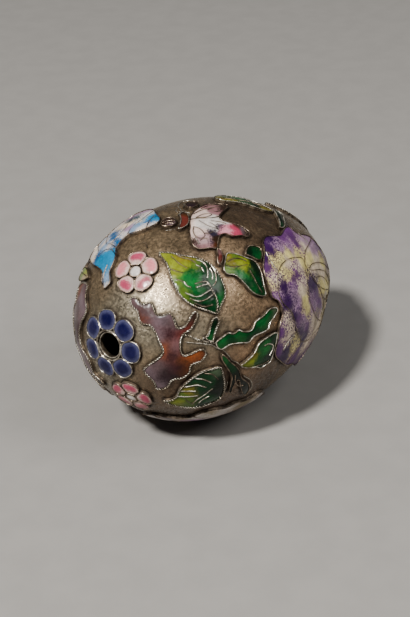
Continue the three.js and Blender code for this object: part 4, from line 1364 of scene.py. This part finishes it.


# Tones of the ground, and its dirt with painted shade beside the relief and the ring, as attributes for its
# material.
def brushGround(piece):
    points = np.empty(len(piece.data.vertices) * 3)
    piece.data.vertices.foreach_get("co", points)
    points = points.reshape(-1, 3) / millimetre
    colours = np.array([linearColour(name) for name in groundTones])
    reaches = []
    for places in groundTones.values():
        spots = np.concatenate([onEgg(place, [(0, 0)], 0) for place in places])
        reaches.append(np.linalg.norm(points[:, None] - spots, axis=2).min(1))
    drift = np.stack([waves(points, groundBrush["waveSize"], groundBrush["firstSeed"] + i)
                      for i in range(len(reaches))], 1)
    reach = np.stack(reaches, 1) + drift * groundBrush["waveReach"]
    weight = np.exp(-(reach - reach.min(1)[:, None]) / groundBrush["soft"])
    addColour(piece, "tone", weight @ colours / weight.sum(1)[:, None])
    # A dark rim round each field of relief: dirt and painted shade at the relief's foot.
    dirtAndShade = np.zeros(len(points))
    for place, outlines in groundMarks:
        apex, normal, _, _ = placeAxes(place)
        reachOut = max(np.linalg.norm(outline, axis=1).max() for outline in outlines)
        reachOut += groundBrush["reliefMargin"]
        ray = points - apex
        ray /= np.linalg.norm(ray, axis=1)[:, None]
        near = ray @ normal > math.cos(reachOut / eggShape["drawnBall"])
        flat = offEgg(place, points[near])
        gap = np.full(len(flat), groundBrush["farAway"])
        for outline in outlines:
            gap = np.minimum(gap, distanceTo(flat, outline, True))
        beyond = np.maximum(gap - groundBrush["clean"], 0) / groundBrush["fade"]
        dirtAndShade[near] = np.maximum(dirtAndShade[near], np.exp(-beyond ** groundBrush["sharpness"]))
    # A dark ring between the hole and its wire ring: dirt and painted shade in that groove.
    fromAxis = np.linalg.norm(np.cross(points - eggCentre, toHole), axis=1)
    ledge = np.exp(-((fromAxis - groundBrush["ledgeRadius"]) / groundBrush["ledgeWidth"]) ** 2)
    ledge *= (points - eggCentre) @ toHole > groundBrush["ledgeFrom"]
    addValue(piece, "dirtAndShade", np.maximum(dirtAndShade, ledge))


ground = groundShell()
brushGround(ground)
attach(ground, "root")
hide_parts("egg_shell")
print("ground turned and toned")

# The wire ring round the hole, with a soldered joint, and a thin lip inside it.
holeRings = (
    {"diameter": 7.15, "width": 0.42, "height": 0.8},
    {"diameter": 6.1, "width": 0.26, "height": 0.26},
)
ringSteps = {"round": 144, "wire": 16}
ringJoint = {"swell": 0.12, "at": 4.2, "width": 0.12, "wobble": 0.02, "lobes": 5}


def ringOfWire():
    points, faces = [], []
    turn = 2 * math.pi * np.arange(ringSteps["round"]) / ringSteps["round"]
    around = 2 * math.pi * np.arange(ringSteps["wire"]) / ringSteps["wire"]
    across = ringSteps["wire"]
    for ring in holeRings:
        start = len(points)
        along = profileAt(angleAtRadius(ring["diameter"] / 2, 0))[1] + ring["height"] / 2
        for angle in turn:
            outwards = math.cos(angle) * toTop + math.sin(angle) * toFront
            joint = 1 + ringJoint["swell"] * math.exp(-((angle - ringJoint["at"]) / ringJoint["width"]) ** 2)
            joint += ringJoint["wobble"] * math.sin(ringJoint["lobes"] * angle)
            for bend in around:
                radius = ring["diameter"] / 2 + ring["width"] / 2 * joint * math.cos(bend)
                rise = ring["height"] / 2 * joint * math.sin(bend)
                points.append(eggCentre + outwards * radius + toHole * (along + rise))
        for k in range(len(turn)):
            here, after = start + k * across, start + (k + 1) % len(turn) * across
            for i in range(across):
                j = (i + 1) % across
                faces.append([here + i, after + i, after + j, here + j])
    return meshFrom("ring_round_hole", points, faces, [metalNamed["greyWire"]])


ring = ringOfWire()
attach(ring, "root")
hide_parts("hole_ring")


# Wires: Geometry Nodes sweep round strands along the drawn lines and twist them together. In millimetres.
strandGap = 0.92     # each strand's middle from the wire's middle, as a share of its radius
backStarts = 4.0     # wires further back than this from the egg's middle are a piece of their own
wireKinds = {
    "rope": {"strands": 2, "radius": 0.122, "pitch": 1.3, "step": 0.16, "sides": 6, "metal": "ropeMetal"},
    "silver": {"strands": 1, "radius": 0.15, "pitch": 1.0, "step": 0.3, "sides": 8, "metal": "silverWire"},
    "fine": {"strands": 1, "radius": 0.12, "pitch": 1.0, "step": 0.3, "sides": 7, "metal": "greyWire"},
    "dull": {"strands": 1, "radius": 0.12, "pitch": 1.0, "step": 0.3, "sides": 7, "metal": "dullWire"},
    "dark": {"strands": 1, "radius": 0.13, "pitch": 1.0, "step": 0.3, "sides": 6, "metal": "fenceMetal"},
}


def wireTree(kind, look):
    tree = bpy.data.node_groups.new(kind + "WireSweep", "GeometryNodeTree")
    tree.interface.new_socket("Geometry", in_out="INPUT", socket_type="NodeSocketGeometry")
    for label in ("Strand Radius", "Twist Pitch", "Step"):
        tree.interface.new_socket(label, in_out="INPUT", socket_type="NodeSocketFloat")
    tree.interface.new_socket("Sides", in_out="INPUT", socket_type="NodeSocketInt")
    tree.interface.new_socket("Geometry", in_out="OUTPUT", socket_type="NodeSocketGeometry")
    add, link = tree.nodes.new, tree.links.new

    def maths(operation, a, b=None):
        node = add("ShaderNodeMath")
        node.operation = operation
        for socket, value in zip(node.inputs, (a, b)):
            if isinstance(value, bpy.types.NodeSocket):
                link(value, socket)
            elif value is not None:
                socket.default_value = value
        return node.outputs[0]

    entry, leave = add("NodeGroupInput"), add("NodeGroupOutput")
    curve = add("GeometryNodeMeshToCurve")
    link(entry.outputs["Geometry"], curve.inputs[0])
    even = add("GeometryNodeResampleCurve")
    even.mode = "LENGTH"
    link(curve.outputs[0], even.inputs["Curve"])
    link(entry.outputs["Step"], even.inputs["Length"])
    twiceLength = maths("MULTIPLY", add("GeometryNodeSplineLength").outputs["Length"], 2.0)
    halfTurns = maths("ROUND", maths("DIVIDE", twiceLength, entry.outputs["Twist Pitch"]))
    twist = maths("MULTIPLY", add("GeometryNodeSplineParameter").outputs["Factor"],
                  maths("MULTIPLY", halfTurns, math.pi))
    tilted = add("GeometryNodeSetCurveTilt")
    link(even.outputs["Curve"], tilted.inputs["Curve"])
    link(twist, tilted.inputs["Tilt"])
    join = add("GeometryNodeJoinGeometry")
    for i in range(look["strands"]):
        circle = add("GeometryNodeCurvePrimitiveCircle")
        link(entry.outputs["Sides"], circle.inputs["Resolution"])
        link(entry.outputs["Strand Radius"], circle.inputs["Radius"])
        side = (2 * i - look["strands"] + 1) * strandGap
        place = add("ShaderNodeCombineXYZ")
        link(maths("MULTIPLY", entry.outputs["Strand Radius"], side), place.inputs["X"])
        moved = add("GeometryNodeTransform")
        link(circle.outputs["Curve"], moved.inputs["Geometry"])
        link(place.outputs["Vector"], moved.inputs["Translation"])
        link(moved.outputs["Geometry"], join.inputs[0])
    # How far out each bit of a strand lies, so that tarnish and painted shade can gather between the strands.
    apart = add("ShaderNodeSeparateXYZ")
    link(add("GeometryNodeInputPosition").outputs["Position"], apart.inputs[0])
    crown = add("GeometryNodeStoreNamedAttribute")
    crown.data_type = "FLOAT"
    crown.inputs["Name"].default_value = "crown"
    link(join.outputs[0], crown.inputs["Geometry"])
    reach = maths("MULTIPLY", entry.outputs["Strand Radius"], 1 + strandGap)
    link(maths("DIVIDE", maths("ABSOLUTE", apart.outputs["X"]), reach), crown.inputs["Value"])
    sweep = add("GeometryNodeCurveToMesh")
    link(tilted.outputs["Curve"], sweep.inputs["Curve"])
    link(crown.outputs["Geometry"], sweep.inputs["Profile Curve"])
    sweep.inputs["Fill Caps"].default_value = True
    smooth = add("GeometryNodeSetShadeSmooth")
    real = add("GeometryNodeRealizeInstances")
    metal = add("GeometryNodeSetMaterial")
    metal.inputs["Material"].default_value = metalNamed[look["metal"]]
    link(sweep.outputs["Mesh"], smooth.inputs["Geometry"])
    link(smooth.outputs["Geometry"], real.inputs["Geometry"])
    link(real.outputs["Geometry"], metal.inputs["Geometry"])
    link(metal.outputs["Geometry"], leave.inputs["Geometry"])
    return tree


def sweepWires(name, kind, lines):
    look = wireKinds[kind]
    points, edges = [], []
    for line, closed in lines:
        first = len(points)
        points += (line * millimetre).tolist()
        edges += [(first + i, first + i + 1) for i in range(len(line) - 1)]
        if closed:
            edges.append((len(points) - 1, first))
    mesh = bpy.data.meshes.new(name + "Path")
    mesh.from_pydata(points, edges, [])
    path = addObject(name + "Path", mesh)
    modifier = path.modifiers.new("Wires", "NODES")
    modifier.node_group = wireTrees[kind]
    wanted = {"Strand Radius": look["radius"] * millimetre, "Twist Pitch": look["pitch"] * millimetre,
              "Step": look["step"] * millimetre, "Sides": look["sides"]}
    for item in modifier.node_group.interface.items_tree:
        if item.in_out == "INPUT" and item.name in wanted:
            modifier[item.identifier] = wanted[item.name]
    whole = path.evaluated_get(bpy.context.evaluated_depsgraph_get())
    swept = bpy.data.meshes.new_from_object(whole)
    bpy.data.objects.remove(path)
    piece = addObject(name, swept)
    places = np.empty(len(swept.vertices) * 3, np.float32)
    swept.vertices.foreach_get("co", places)
    places[2::3] = np.maximum(places[2::3], 0)      # nothing under the floor
    swept.vertices.foreach_set("co", places)
    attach(piece, "root")
    triangles = sum(len(face.vertices) - 2 for face in swept.polygons)
    print(f"{name}: {len(lines)} wires, {triangles} triangles")


wireTrees = {kind: wireTree(kind, look) for kind, look in wireKinds.items()}
for kind, lines in wireLines.items():
    for side in ("front", "back"):
        chosen = [line for line in lines
                  if (line[0][:, 1].mean() >= eggCentre[1] + backStarts) == (side == "back")]
        if chosen:
            sweepWires(f"{kind}_wires_{side}", kind, chosen)

# Floor, light and camera.
stage = {
    "floorSize": 6.0, "floorColour": (0.205, 0.198, 0.188, 1), "floorShade": 0.94, "floorRoughness": 0.85,
    "floorPatches": {"sizeMm": 9.0, "detail": 4, "between": (0.3, 0.7)},
    "worldColour": (0.75, 0.76, 0.78, 1), "worldStrength": 0.12,
}
softLights = {
    "key": {"azimuth": 87, "elevation": 50, "distance": 1.3, "size": 0.16, "power": 42.0,
            "colour": (1.0, 0.97, 0.92)},
    "fill": {"azimuth": -12, "elevation": 48, "distance": 0.9, "size": 0.5, "power": 4.8,
             "colour": (1.0, 0.98, 0.95)},
}
floorMesh = bpy.data.meshes.new("floor")
half = stage["floorSize"] / 2
corners = [(-half, -half, 0), (half, -half, 0), (half, half, 0), (-half, half, 0)]
floorMesh.from_pydata(corners, [], [(0, 1, 2, 3)])
floor = addObject("floor", floorMesh)
recipe = Recipe("paleFloor")
shaded = tuple(stage["floorShade"] * part for part in stage["floorColour"][:3]) + (1,)
floorPaint = recipe.mix(recipe.layer(**stage["floorPatches"]), stage["floorColour"], shaded)
floorMesh.materials.append(recipe.surface(colour=floorPaint, roughness=stage["floorRoughness"]))

lookAt = Vector(eggCentre * millimetre)


# A place round the egg: azimuth in degrees from the front towards its hole end.
def aroundEgg(azimuth, elevation, distance):
    a, e = math.radians(azimuth), math.radians(elevation)
    return lookAt + distance * Vector((-math.sin(a) * math.cos(e), -math.cos(a) * math.cos(e), math.sin(e)))


for name, look in softLights.items():
    light = bpy.data.lights.new(name, "AREA")
    light.shape = "DISK"
    light.size = look["size"]
    light.energy = look["power"]
    light.color = look["colour"]
    lamp = addObject(name, light)
    lamp.location = aroundEgg(look["azimuth"], look["elevation"], look["distance"])
    lamp.rotation_euler = (lookAt - lamp.location).to_track_quat("-Z", "Y").to_euler()
world = bpy.data.worlds.new("studio")
world.use_nodes = True
world.node_tree.nodes["Background"].inputs[0].default_value = stage["worldColour"]
world.node_tree.nodes["Background"].inputs[1].default_value = stage["worldStrength"]
bpy.context.scene.world = world

photoHeight = 617     # pixels
view = {"azimuth": 51.8, "elevation": 28.5, "distance": 0.371, "roll": -1.5, "lens": 87.65, "sensor": 36,
        "shiftX": -8.0 / photoHeight, "shiftY": -9.2 / photoHeight, "nearest": 0.01, "furthest": 20}
camera = bpy.data.cameras.new("camera")
camera.lens = view["lens"]
camera.sensor_width = view["sensor"]
camera.shift_x, camera.shift_y = view["shiftX"], view["shiftY"]
camera.clip_start, camera.clip_end = view["nearest"], view["furthest"]
eye = addObject("camera", camera)
eye.location = aroundEgg(view["azimuth"], view["elevation"], view["distance"])
facing = (lookAt - eye.location).to_track_quat("-Z", "Y")
eye.rotation_mode = "QUATERNION"
eye.rotation_quaternion = facing @ Quaternion((0, 0, 1), math.radians(view["roll"]))
bpy.context.scene.camera = eye

bpy.context.view_layer.update()
print("stage set")
